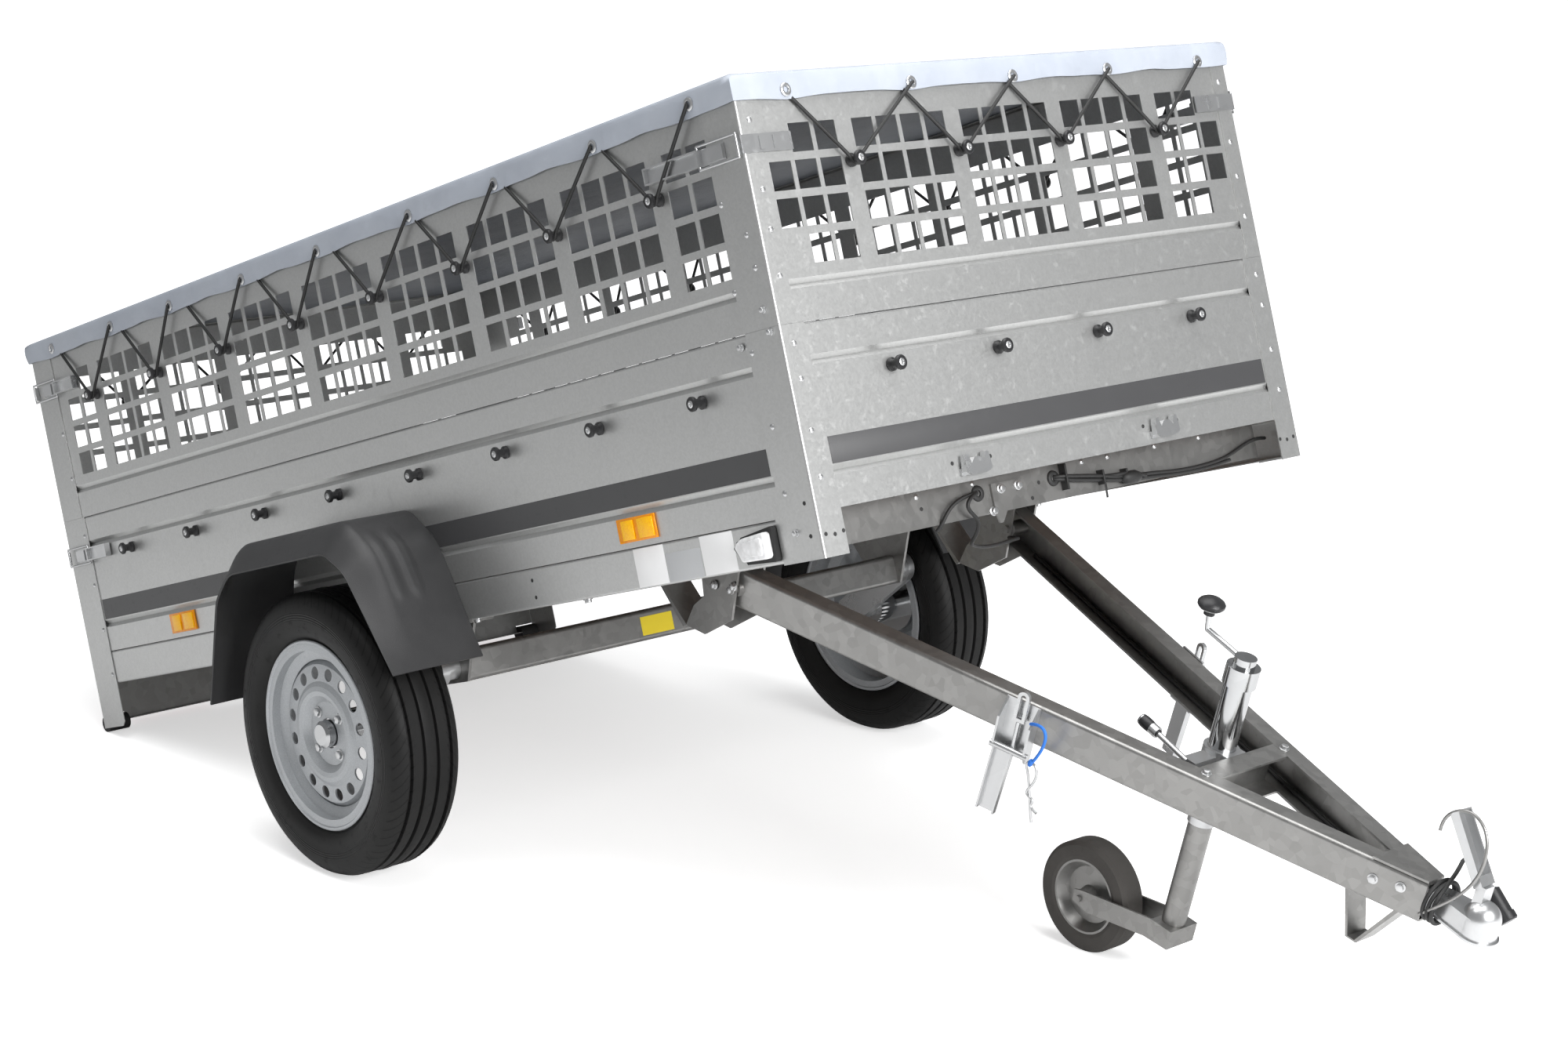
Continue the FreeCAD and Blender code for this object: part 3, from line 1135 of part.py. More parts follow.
def cable_route():
    """Corners of the plug cable: along the arm, three times round the neck, then to the plug."""
    floor = -ARM_HEIGHT + ARM_WALL + SEAT + CABLE_RADIUS
    start = V(CABLE_START, inner_spread(CABLE_START, CABLE_DEPTH), floor)
    last = V(ARM_END - 40, inner_spread(ARM_END - 40, CABLE_DEPTH), floor)
    points = [start, last, V(WIND_START - 12, 1, WIND_HEIGHT - 0.93 * WIND_RADIUS)]
    for step in range(8 * WIND_TURNS - 5):
        points.append(wind_point((step + 0.5) / 8))
    end = V(*PLUG_PLACE)
    ahead = points[-1]
    points += [V(ahead.x - 8, 17, 27), V(ahead.x - 18, 42, 37), end - 26 * plug_axis(), end]
    return points


def round_path(points):
    """Straight runs joined by tangent arcs, each as large as its two runs allow, with the arcs' radii."""
    edges = []
    radii = []
    here = points[0]
    for before, corner, after in zip(points, points[1:], points[2:]):
        come = (corner - before).normalize()
        go = (after - corner).normalize()
        half = come.getAngle(go) / 2
        shorter = min((corner - before).Length, (after - corner).Length)
        cut = 0.45 * shorter
        first = corner - come * cut
        last = corner + go * cut
        radius = cut / math.tan(half)
        inward = (go - come).normalize()
        middle = corner + inward * (radius / math.cos(half) - radius)
        edges.append(Part.LineSegment(here, first).toShape())
        edges.append(Part.Arc(first, middle, last).toShape())
        radii.append(radius)
        here = last
    edges.append(Part.LineSegment(here, points[-1]).toShape())
    return Part.Wire(edges), radii


def harness_cable():
    """Plug cable of the lamps, held in the left arm and wound round the coupler's neck."""
    points = cable_route()
    path, radii = round_path(points)
    circle = Part.makeCircle(CABLE_RADIUS, points[0], points[1] - points[0])
    tube = path.makePipeShell([Part.Wire([circle])], True, True)
    print("cable length", round(path.Length, 1), "volume", round(tube.Volume),
          "section by length", round(math.pi * CABLE_RADIUS ** 2 * path.Length))
    print("cable radii", [round(radius, 1) for radius in radii])
    return tube


def harness_plug():
    """Round plug at the cable's end, with its gland."""
    neck, body = PLUG_NECK_LENGTH, PLUG_NECK_LENGTH + PLUG_LENGTH
    profile = [(0, 0), (0, PLUG_NECK), (neck, PLUG_NECK), (neck + 4, PLUG_RADIUS - 2), (body - 14, PLUG_RADIUS - 2),
               (body - 14, PLUG_RADIUS), (body - 2, PLUG_RADIUS), (body, PLUG_RADIUS - 2), (body, 0)]
    return turned(profile, PLUG_PLACE, plug_axis())


def jockey_clamp():
    """Clamp on the cross channel that grips the jockey wheel's outer tube, with its lever."""
    ring = cylinder((JOCKEY_U, 0, -ARM_HEIGHT), Z_AXIS, CLAMP_RING, ARM_HEIGHT)
    pad = block(JOCKEY_U, CROSS_START - SEAT, -24, 24, -ARM_HEIGHT, 0)
    side = -CLAMP_RING - 49
    lug = block(JOCKEY_U - 14, JOCKEY_U + 14, side, -CLAMP_RING + 8, -34, -8)
    lever = rod((JOCKEY_U - 5, side, -12), (JOCKEY_U - 81, side, 4), 5)
    grip = rod((JOCKEY_U - 74, side, 3), (JOCKEY_U - 112, side, 10), 10)
    bore = cylinder((JOCKEY_U, 0, -ARM_HEIGHT - 1), Z_AXIS, JOCKEY_OUTER + SEAT / 2, ARM_HEIGHT + 2)
    return joined([ring, pad, lug, lever, grip]).cut(bore)


def jockey_tube():
    """Outer tube of the jockey wheel with its collar and cap, bored for the inner tube."""
    tube = cylinder((JOCKEY_U, 0, JOCKEY_OUTER_BOTTOM), Z_AXIS, JOCKEY_OUTER,
                    JOCKEY_TOP - JOCKEY_OUTER_BOTTOM)
    collar = cylinder((JOCKEY_U, 0, JOCKEY_TOP - JOCKEY_COLLAR_HEIGHT), Z_AXIS, JOCKEY_COLLAR,
                      JOCKEY_COLLAR_HEIGHT)
    cap = cylinder((JOCKEY_U, 0, JOCKEY_TOP), Z_AXIS, JOCKEY_CAP, JOCKEY_CAP_HEIGHT)
    bore = cylinder((JOCKEY_U, 0, JOCKEY_OUTER_BOTTOM - 1), Z_AXIS, JOCKEY_INNER + PIN_CLEARANCE,
                    JOCKEY_TOP - 6 - JOCKEY_OUTER_BOTTOM)
    return joined([tube, collar, cap]).cut(bore)


def jockey_crank():
    """Crank of the jockey wheel with its mushroom knob."""
    height = JOCKEY_TOP + JOCKEY_CAP_HEIGHT / 2
    bend = (JOCKEY_U - 88, 0, height + 16)
    top = (JOCKEY_U - 93, 0, height + 46)
    knob_profile = [(0, 0), (0, 9), (6, 9), (10, 19), (16, 23), (23, 21), (29, 12), (31, 0)]
    parts = [rod((JOCKEY_U, 0, height), bend, CRANK_RADIUS), Part.makeSphere(CRANK_RADIUS, V(*bend)),
             rod(bend, top, CRANK_RADIUS), turned(knob_profile, (top[0], 0, height + 42), Z_AXIS)]
    cap_space = cylinder((JOCKEY_U, 0, JOCKEY_TOP - 1), Z_AXIS, JOCKEY_CAP + SEAT, JOCKEY_CAP_HEIGHT + 20)
    return joined(parts).cut(cap_space)


def jockey_leg():
    """Inner tube of the jockey wheel, bored at its foot for the fork's swivel."""
    bottom = JOCKEY_AXLE_W + FORK_TOP + SEAT
    tube = cylinder((JOCKEY_U, 0, bottom), Z_AXIS, JOCKEY_INNER, JOCKEY_INNER_TOP - bottom)
    bore = cylinder((JOCKEY_U, 0, bottom - 1), Z_AXIS, SWIVEL_RADIUS + PIN_CLEARANCE,
                    SWIVEL_LENGTH + 3)
    return tube.cut(bore)


def jockey_fork():
    """Trailing fork of the jockey wheel with its swivel stub and wheel axle."""
    outline = [(-14, -10), (-14, 12), (4, 18), (158, FORK_TOP), (203, FORK_TOP), (203, FORK_LOW),
               (150, FORK_LOW - 3), (20, -16)]
    placed = [(JOCKEY_AXLE_U + u, JOCKEY_AXLE_W + w) for u, w in outline]
    plate = prism_y(placed, FORK_INNER, FORK_INNER + FORK_THICK)
    bridge = block(JOCKEY_U - 22, JOCKEY_AXLE_U + 203, -FORK_INNER, FORK_INNER,
                   JOCKEY_AXLE_W + FORK_LOW, JOCKEY_AXLE_W + FORK_TOP)
    stub = cylinder((JOCKEY_U, 0, JOCKEY_AXLE_W + FORK_TOP), Z_AXIS, SWIVEL_RADIUS, SWIVEL_LENGTH)
    reach = FORK_INNER + FORK_THICK + 5
    pin = cylinder((JOCKEY_AXLE_U, -reach, JOCKEY_AXLE_W), Y_AXIS, JOCKEY_AXLE, 2 * reach)
    return joined([plate, mirrored(plate), bridge, stub, pin])


def jockey_tyre():
    half = JOCKEY_WHEEL_HALF
    low = JOCKEY_RIM + SEAT
    profile = [(-half + 2, low), (-half, low + 6), (-half, JOCKEY_WHEEL - 7), (-half + 6, JOCKEY_WHEEL),
               (half - 6, JOCKEY_WHEEL), (half, JOCKEY_WHEEL - 7), (half, low + 6), (half - 2, low)]
    return turned(profile, (JOCKEY_AXLE_U, 0, JOCKEY_AXLE_W), Y_AXIS)


def jockey_rim():
    """Pressed rim of the jockey wheel with its hub tube."""
    half = JOCKEY_WHEEL_HALF
    bore = JOCKEY_AXLE + PIN_CLEARANCE
    profile = [(-half - 2, bore), (-half - 2, 14), (-6, 18), (-4, JOCKEY_RIM - 16),
               (-half + 2, JOCKEY_RIM - 4), (-half + 2, JOCKEY_RIM), (half - 2, JOCKEY_RIM),
               (half - 2, JOCKEY_RIM - 4), (4, JOCKEY_RIM - 16), (6, 18), (half + 2, 14),
               (half + 2, bore)]
    return turned(profile, (JOCKEY_AXLE_U, 0, JOCKEY_AXLE_W), Y_AXIS)


def box_nodes():
    """Everything drawn in the box's frame."""
    lower_grooves = [LOWER_GROOVE, UPPER_GROOVE]
    corner_posts = Part.makeCompound([front_post(), rear_post(), mesh_post(0.0, -1), mesh_post(REAR, 1)])
    nodes = {
        "side_rails": both_sides(side_rail()),
        "cross_members": cross_members(),
        "floor_panel": floor_panel(),
        "lower_sides": both_sides(side_panel(FLOOR_BOTTOM, LOWER_TOP, lower_grooves)),
        "lower_front": end_panel(FRONT_FACE, -1, FLOOR_BOTTOM, LOWER_TOP, lower_grooves),
        "corner_posts": both_sides(corner_posts),
        "mesh_sides": both_sides(mesh_side()),
        "mesh_ends": Part.makeCompound([mesh_end(FRONT_FACE, -1), mesh_end(REAR_FACE, 1)]),
        "cover": cover(),
        "lacing_knobs": lacing_knobs(),
        "tailgate": Part.makeCompound([tailgate(), gate_catch(), mirrored(gate_catch())]),
        "tailgate_knobs": Part.makeCompound(end_knobs(REAR - SEAT, -X_AXIS, LOWER_KNOB_HEIGHT)),
        "tailgate_hinges": both_sides(gate_hinge()),
        "axle": axle(),
        "swing_arms": both_sides(swing_arm()),
        "mudguards": both_sides(mudguard()),
        "tilt_brackets": both_sides(hinge_bracket()),
        "front_hooks": both_sides(front_hook()),
        "guide_plate": guide_plate(),
        "marker_lamps": both_sides(marker_lamp()),
        "rear_lamps": both_sides(rear_lamp()),
        "rear_buffers": both_sides(buffer()),
        "toggle_latches": toggle_latches(),
    }
    for name, shape in (("tyre", tyre()), ("rim", rim()), ("hub", hub())):
        nodes[name + "_left"] = shape
        nodes[name + "_right"] = mirrored(shape)
    return nodes


def bar_nodes():
    """Everything drawn in the drawbar's frame."""
    return {
        "drawbar_arms": both_sides(drawbar_arm()),
        "drawbar_cross": drawbar_cross(),
        "nose_plate": nose_plate(),
        "coupler": coupler(),
        "coupler_handle": coupler_handle(),
        "stirrup": stirrup(),
        "arm_clamps": both_sides(arm_clamp()),
        "harness_cable": harness_cable(),
        "harness_plug": harness_plug(),
        "jockey_clamp": jockey_clamp(),
        "jockey_tube": jockey_tube(),
        "jockey_crank": jockey_crank(),
        "jockey_leg": jockey_leg(),
        "jockey_fork": jockey_fork(),
        "jockey_tyre": jockey_tyre(),
        "jockey_rim": jockey_rim(),
    }


def report(name, point, shift):
    print(name, round(point.x + shift, 3), round(point.y, 3), round(point.z, 3))


def main():
    os.makedirs("parts", exist_ok=True)
    nodes = {}
    for shapes, place in ((box_nodes(), BOX_PLACE), (bar_nodes(), BAR_PLACE)):
        for name, shape in shapes.items():
            nodes[name] = shape.transformed(place.toMatrix())
    boxes = [shape.optimalBoundingBox(False, False) for shape in nodes.values()]
    shift = -(max(box.XMax for box in boxes) + min(box.XMin for box in boxes)) / 2
    for name, shape in nodes.items():
        shape.translate(V(shift, 0, 0))
        shape.exportStep("parts/" + name + ".step")
        if not shape.isValid():
            print("not valid:", name)
    print("nodes", len(nodes), "lowest", round(min(box.ZMin for box in boxes), 3),
          "highest", round(max(box.ZMax for box in boxes), 3))
    report("tilt pin", box_point(PIN_X, 0, PIN_Z), shift)
    report("wheel", box_point(AXLE_X, WHEEL_Y, AXLE_Z), shift)
    report("gate pivot", box_point(GATE_PIVOT_X, 0, GATE_PIVOT_Z), shift)
    report("jockey tube", bar_point(JOCKEY_U, 0, 0), shift)
    report("jockey axle", bar_point(JOCKEY_AXLE_U, 0, JOCKEY_AXLE_W), shift)
    report("ball socket", bar_point(BALL_U, 0, COUPLER_BOTTOM), shift)
    report("floor middle", box_point(REAR / 2, 0, FLOOR_TOP), shift)
    report("box origin", box_point(0, 0, 0), shift)
    report("drawbar origin", bar_point(0, 0, 0), shift)


main()
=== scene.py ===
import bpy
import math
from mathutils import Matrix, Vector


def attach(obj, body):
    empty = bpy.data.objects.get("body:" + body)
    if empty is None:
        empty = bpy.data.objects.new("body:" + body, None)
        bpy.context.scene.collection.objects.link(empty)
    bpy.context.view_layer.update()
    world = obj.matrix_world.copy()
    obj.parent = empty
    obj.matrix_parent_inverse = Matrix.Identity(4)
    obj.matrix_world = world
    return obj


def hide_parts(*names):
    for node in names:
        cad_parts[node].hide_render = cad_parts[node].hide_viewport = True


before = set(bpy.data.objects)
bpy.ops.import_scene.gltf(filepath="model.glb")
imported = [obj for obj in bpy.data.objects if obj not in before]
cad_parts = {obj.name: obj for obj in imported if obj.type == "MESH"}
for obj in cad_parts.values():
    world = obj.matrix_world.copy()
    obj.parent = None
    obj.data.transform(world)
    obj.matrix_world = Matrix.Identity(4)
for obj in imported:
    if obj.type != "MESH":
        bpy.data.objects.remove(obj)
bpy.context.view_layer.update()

# %% [markdown]
# This notebook dresses a single-axle tipping trailer. Its parts arrive from the CAD model as fixed
# nodes, so nothing here moves or reshapes them. They get their finishes, and what the CAD model
# leaves plain or leaves out is modelled: the laced cover, the ribbed mudguards, the tyres' treads,
# lenses, bolts, labels and cables. Pieces are given in millimetres and made in metres.

TILT = math.radians(16.3)
DROP = math.radians(16.0)
BOX = Matrix.Translation((0.872577, 0, 0.796788)) @ Matrix.Rotation(-TILT, 4, "Y")
BAR = Matrix.Translation((0.411048, 0, 0.655441)) @ Matrix.Rotation(DROP, 4, "Y")
LEVEL = Matrix.Identity(4)
MM = 0.001
BOX_MIDDLE = -1245.0
POST_FACE = 598.0
PANEL_FACE = 595.7
FRONT_PANEL = -2.3
SIDES = (-1, 1)

# %% [markdown]
# The trailer stands tipped, with its box turned one way and its drawbar the other. It is easier to
# measure a part while it is level, so each piece is modelled level, in the box's own frame or in the
# drawbar's, and is then turned into place. The place is applied, so that a piece ends with its
# object at the origin and its shape in its mesh, as the CAD nodes have it. Edit mode is always
# entered with the whole mesh selected.

# %% Small helpers for selecting, starting and fitting a piece
def select_only(*objects):
    if bpy.context.object and bpy.context.object.mode != "OBJECT":
        bpy.ops.object.mode_set(mode="OBJECT")
    bpy.ops.object.select_all(action="DESELECT")
    for obj in objects:
        obj.select_set(True)
    if objects:
        bpy.context.view_layer.objects.active = objects[0]


def apply_place(obj):
    select_only(obj)
    bpy.ops.object.transform_apply(location=True, rotation=True, scale=True)


def named(name):
    obj = bpy.context.object
    obj.name = name
    obj.data.name = name
    return obj


def edit_all():
    bpy.ops.object.mode_set(mode="EDIT")
    bpy.ops.mesh.select_all(action="SELECT")


def leave_edit():
    bpy.ops.object.mode_set(mode="OBJECT")


def ease_edges(bevel, segments):
    edit_all()
    bpy.ops.mesh.bevel(offset=bevel * MM, segments=segments, affect="EDGES")
    leave_edit()


def turn_faces_out():
    edit_all()
    bpy.ops.mesh.normals_make_consistent(inside=False)
    leave_edit()


def plate(name, low, high, bevel=0.8, segments=2):
    """A block between two corners in millimetres, with its edges eased."""
    select_only()
    middle = [(a + b) / 2 * MM for a, b in zip(low, high)]
    size = [(b - a) * MM for a, b in zip(low, high)]
    bpy.ops.mesh.primitive_cube_add(size=1, location=middle, scale=size)
    obj = named(name)
    apply_place(obj)
    ease_edges(bevel, segments)
    return obj


def turned(name, outline, steps, centre=(0, 0, 0), axis=(0, 0, 1)):
    """An outline of (along, radius) in millimetres, drawn by extruding a point and spun round the axis."""
    select_only()
    bpy.ops.mesh.primitive_plane_add(size=0.01, location=(0, 0, 0))
    obj = named(name)
    edit_all()
    bpy.ops.mesh.merge(type="CENTER")
    along, radius = outline[0]
    bpy.ops.transform.translate(value=(radius * MM, 0, along * MM))
    for (along, radius), (next_along, next_radius) in zip(outline, outline[1:]):
        step = ((next_radius - radius) * MM, 0, (next_along - along) * MM)
        bpy.ops.mesh.extrude_region_move(TRANSFORM_OT_translate={"value": step})
    bpy.ops.mesh.select_all(action="SELECT")
    bpy.ops.mesh.spin(steps=steps, angle=math.tau, center=(0, 0, 0), axis=(0, 0, 1))
    bpy.ops.mesh.select_all(action="SELECT")
    bpy.ops.mesh.remove_doubles(threshold=0.00001)
    turn_faces_out()
    obj.matrix_world = facing(*centre, axis)
    apply_place(obj)
    return obj


def wire(name, points, radius, order=3):
    """A round bar or cord along points in millimetres, smooth through its corners."""
    select_only()
    curve = bpy.data.curves.new(name, "CURVE")
    curve.dimensions = "3D"
    spline = curve.splines.new("NURBS")
    spline.points.add(len(points) - 1)
    for target, point in zip(spline.points, points):
        target.co = (*(Vector(point) * MM), 1)
    spline.order_u = order
    spline.use_endpoint_u = True
    spline.resolution_u = 6
    curve.bevel_depth = radius * MM
    curve.bevel_resolution = 2
    curve.use_fill_caps = True
    obj = bpy.data.objects.new(name, curve)
    bpy.context.scene.collection.objects.link(obj)
    select_only(obj)
    bpy.ops.object.convert(target="MESH")
    return named(name)


def facing(x, y, z, axis):
    """A place in millimetres whose upward direction is turned to the axis."""
    turn = Vector(axis).to_track_quat("Z", "X").to_matrix().to_4x4()
    return Matrix.Translation(Vector((x, y, z)) * MM) @ turn


def joined(name, objects):
    select_only(*objects)
    bpy.ops.object.join()
    return named(name)


def copies(name, pattern, places):
    """A copy of the pattern at each place, each from its own mesh, joined into one piece."""
    made = []
    for place in places:
        twin = bpy.data.objects.new(name, pattern.data.copy())
        bpy.context.scene.collection.objects.link(twin)
        twin.matrix_world = place @ pattern.matrix_world
        made.append(twin)
    bpy.data.objects.remove(pattern)
    piece = joined(name, made)
    apply_place(piece)
    return piece


def fit(obj, place, body, finish, angle=35):
    """Turns a level piece into place, gives it its finish and lets it ride on its body."""
    obj.matrix_world = place @ obj.matrix_world
    apply_place(obj)
    bpy.ops.object.shade_smooth_by_angle(angle=math.radians(angle))
    obj.data.materials.clear()
    obj.data.materials.append(finish)
    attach(obj, body)
    print("made", obj.name, "with", len(obj.data.polygons), "faces")
    return obj


MIRROR = Matrix.Scale(-1, 4, (0, 1, 0))


def mirrored_pair(obj):
    """Adds the same piece on the other side and turns its faces out again."""
    twin = bpy.data.objects.new(obj.name, obj.data.copy())
    bpy.context.scene.collection.objects.link(twin)
    twin.matrix_world = MIRROR @ obj.matrix_world
    apply_place(twin)
    turn_faces_out()
    return joined(obj.name, [obj, twin])


# %% [markdown]
# The camera stands off the right front corner, a little above the trailer, with a long lens, so that
# the box nearly keeps its parallel edges.

# %% Camera
camera_data = bpy.data.cameras.new("camera")
camera_data.lens = 66.649
camera_data.sensor_width = 36
camera = bpy.data.objects.new("camera", camera_data)
bpy.context.scene.collection.objects.link(camera)
right = Vector((0.66924, 0.74301, -0.00828))
up = Vector((-0.15526, 0.15072, 0.97631))
back = right.cross(up)
camera.matrix_world = Matrix(((right.x, up.x, back.x, 4.14149), (right.y, up.y, back.y, -3.617),
                              (right.z, up.z, back.z, 1.83823), (0, 0, 0, 1)))
bpy.context.scene.camera = camera
bpy.context.scene.view_settings.view_transform = "Standard"
print("camera", tuple(round(x, 3) for x in camera.location))

# %% [markdown]
# A finish is built from shader nodes. A short helper adds a node, sets its options and links or
# fills its inputs, so that each material below reads as a list of what is laid over what.

# %% Helper for shader nodes
def fill(tree, node, inputs):
    """Links each input of a node to an output, or sets it to a value."""
    for socket, value in inputs.items():
        if isinstance(value, bpy.types.NodeSocket):
            tree.links.new(value, node.inputs[socket])
        else:
            node.inputs[socket].default_value = value


def add_node(tree, kind, inputs=None, **options):
    made = tree.nodes.new(kind)
    for option, value in options.items():
        setattr(made, option, value)
    fill(tree, made, inputs or {})
    return made


def math_node(tree, operation, first, second=0.0, third=0.0):
    return add_node(tree, "ShaderNodeMath", {0: first, 1: second, 2: third}, operation=operation).outputs[0]


def times(tree, first, second):
    return math_node(tree, "MULTIPLY", first, second)


def object_place(tree):
    return add_node(tree, "ShaderNodeTexCoord").outputs["Object"]


def blend_colour(tree, mask, first, second):
    return add_node(tree, "ShaderNodeMix", {0: mask, 6: first, 7: second}, data_type="RGBA").outputs[2]


def ramp(tree, value, low, high, from_low=0.0, from_high=1.0):
    made = add_node(tree, "ShaderNodeMapRange", {0: value, 1: from_low, 2: from_high, 3: low, 4: high})
    return made.outputs[0]


def new_group(name, inputs, outputs):
    group = bpy.data.node_groups.new(name, "ShaderNodeTree")
    for label, value in inputs.items():
        socket = group.interface.new_socket(name=label, in_out="INPUT", socket_type="NodeSocketFloat")
        socket.default_value = value
    for label in outputs:
        group.interface.new_socket(name=label, in_out="OUTPUT", socket_type="NodeSocketFloat")
    entry = group.nodes.new("NodeGroupInput")
    leave = group.nodes.new("NodeGroupOutput")
    return group, entry, leave


# %% [markdown]
# Hot-dip zinc cools in flat crystals, the spangle. Each crystal reflects a little differently, so
# the group gives every cell of a Voronoi pattern its own tone, and lays the long fine lines of the
# rolling mill over it.

# %% Group for zinc spangle
spangle_group, entry, leave = new_group("zinc spangle", {"Cells": 70.0, "Lines": 1.0},
                                        ["Tone", "Gloss", "Height"])
place = object_place(spangle_group)
warp = add_node(spangle_group, "ShaderNodeTexNoise", {"Vector": place, "Scale": 14.0, "Detail": 2.0})
shift = add_node(spangle_group, "ShaderNodeVectorMath",
                 {0: warp.outputs["Color"], "Scale": 0.02}, operation="SCALE").outputs[0]
moved = add_node(spangle_group, "ShaderNodeVectorMath", {0: place, 1: shift}, operation="ADD").outputs[0]
cells = add_node(spangle_group, "ShaderNodeTexVoronoi", {"Vector": moved, "Scale": entry.outputs["Cells"]})
tone = add_node(spangle_group, "ShaderNodeSeparateColor", {0: cells.outputs["Color"]})
stretch = add_node(spangle_group, "ShaderNodeMapping", {"Vector": place, "Scale": (5.0, 5.0, 700.0)})
lines = add_node(spangle_group, "ShaderNodeTexNoise",
                 {"Vector": stretch.outputs[0], "Scale": 1.0, "Detail": 3.0})
line_tone = times(spangle_group, lines.outputs[0], entry.outputs["Lines"])
fill(spangle_group, leave, {"Tone": tone.outputs[0], "Gloss": tone.outputs[1], "Height": line_tone})
print("group", spangle_group.name)

# %% [markdown]
# Steel that has been handled and stacked carries soft cloudy marks. One group gives broad clouds
# and finer specks as two masks, which the metals, the paint and the plastics all use.

# %% Group for handling marks
marks_group, entry, leave = new_group("handling marks", {"Size": 3.0, "Specks": 60.0},
                                      ["Clouds", "Specks"])
place = object_place(marks_group)
clouds = add_node(marks_group, "ShaderNodeTexNoise",
                  {"Vector": place, "Scale": entry.outputs["Size"], "Detail": 4.0, "Roughness": 0.6})
specks = add_node(marks_group, "ShaderNodeTexNoise",
                  {"Vector": place, "Scale": entry.outputs["Specks"], "Detail": 5.0, "Roughness": 0.7})
fill(marks_group, leave, {"Clouds": ramp(marks_group, clouds.outputs[0], 0.0, 1.0, 0.3, 0.7),
                          "Specks": ramp(marks_group, specks.outputs[0], 0.0, 1.0, 0.56, 0.68)})
print("group", marks_group.name)

# %% [markdown]
# Moulded plastic and rubber have a fine pebble grain from the mould. This group gives its height.

# %% Group for mould grain
grain_group, entry, leave = new_group("mould grain", {"Grain": 900.0}, ["Height", "Tone"])
place = object_place(grain_group)
pebbles = add_node(grain_group, "ShaderNodeTexVoronoi", {"Vector": place, "Scale": entry.outputs["Grain"]})
patches = add_node(grain_group, "ShaderNodeTexNoise", {"Vector": place, "Scale": 25.0, "Detail": 3.0})
fill(grain_group, leave, {"Height": pebbles.outputs["Distance"], "Tone": patches.outputs[0]})
print("group", grain_group.name)


def use_group(tree, group, **values):
    return add_node(tree, "ShaderNodeGroup", values, node_tree=group)


def new_material(name, preview):
    material = bpy.data.materials.new(name)
    material.use_nodes = True
    material.diffuse_color = (*preview, 1)
    tree = material.node_tree
    return material, tree, tree.nodes["Principled BSDF"]


def bump(tree, height, strength, distance):
    made = add_node(tree, "ShaderNodeBump", {"Height": height, "Strength": strength, "Distance": distance})
    return made.outputs[0]


# %% [markdown]
# Three metals are used. The sheet and the drawbar are hot-dip galvanised, with a visible spangle. The
# drawbar's zinc is darker, and on the cross members and the guide plate under the front panel this
# darker zinc is painted shade. Pins, clamps and the coupler are electroplated, brighter and even. The
# jockey tube is chromed.

# %% Galvanised, plated and chromed steel
def metal(name, dark, light, rough, cells, line_strength, marks, bumps, metallic=0.85):
    material, tree, shader = new_material(name, [(a + b) / 2 for a, b in zip(dark, light)])
    spangle = use_group(tree, spangle_group, Cells=cells, Lines=line_strength)
    handled = use_group(tree, marks_group, Size=2.2, Specks=55.0)
    base = blend_colour(tree, spangle.outputs["Tone"], (*dark, 1), (*light, 1))
    dulled = blend_colour(tree, times(tree, handled.outputs["Clouds"], marks), base,
                          (*[v * 0.8 for v in dark], 1))
    gloss = ramp(tree, spangle.outputs["Gloss"], *rough)
    worn = math_node(tree, "MULTIPLY_ADD", handled.outputs["Specks"], 0.08, gloss)
    fill(tree, shader, {"Base Color": dulled, "Roughness": worn, "Metallic": metallic,
                        "Normal": bump(tree, spangle.outputs["Height"], bumps, 0.0004)})
    return material


galvanised = metal("galvanised sheet", (0.49, 0.493, 0.487), (0.53, 0.533, 0.527), (0.36, 0.4),
                   260.0, 1.0, 0.12, 0.08)
# The drawbar's darker zinc. The cross members and the guide plate also take it, as painted shade.
dark_zinc_and_shade = metal("dark zinc and painted shade", (0.26, 0.257, 0.25), (0.32, 0.316, 0.308), (0.34, 0.4),
                     60.0, 0.6, 0.3, 0.08)
plated = metal("bright plated steel", (0.54, 0.545, 0.55), (0.58, 0.585, 0.59), (0.27, 0.3),
               30.0, 0.3, 0.25, 0.03, 0.9)
chromed = metal("chromed tube", (0.46, 0.465, 0.47), (0.5, 0.505, 0.51), (0.1, 0.14),
                20.0, 0.3, 0.1, 0.02, 1.0)
print("metals", galvanised.name, dark_zinc_and_shade.name, plated.name, chromed.name)

# %% [markdown]
# The wheels are sprayed in silver paint under clear lacquer. Tiny flakes make its tone sparkle, so
# the colour varies from flake to flake, and the lacquer is the shader's coat.

# %% Silver wheel paint
wheel_paint, tree, shader = new_material("silver wheel paint", (0.3, 0.31, 0.32))
flake_map = add_node(tree, "ShaderNodeTexVoronoi", {"Vector": object_place(tree), "Scale": 1400.0})
flakes = add_node(tree, "ShaderNodeSeparateColor", {0: flake_map.outputs["Color"]}).outputs[0]
handled = use_group(tree, marks_group, Size=8.0, Specks=90.0)
tone = blend_colour(tree, flakes, (0.33, 0.345, 0.36, 1), (0.47, 0.485, 0.5, 1))
dust = times(tree, handled.outputs["Clouds"], 0.3)
dusty = blend_colour(tree, dust, tone, (0.3, 0.31, 0.32, 1))
fill(tree, shader, {"Base Color": dusty, "Roughness": ramp(tree, handled.outputs["Specks"], 0.4, 0.52),
                    "Metallic": 0.35, "Coat Weight": 0.2, "Coat Roughness": 0.2})
print("paint", wheel_paint.name)

# %% [markdown]
# The plastics and rubbers differ in colour, gloss and grain. A mudguard is satin and faintly dusty,
# a lamp's rubber is matt, and the small wheel's tyre is a brownish grey compound.

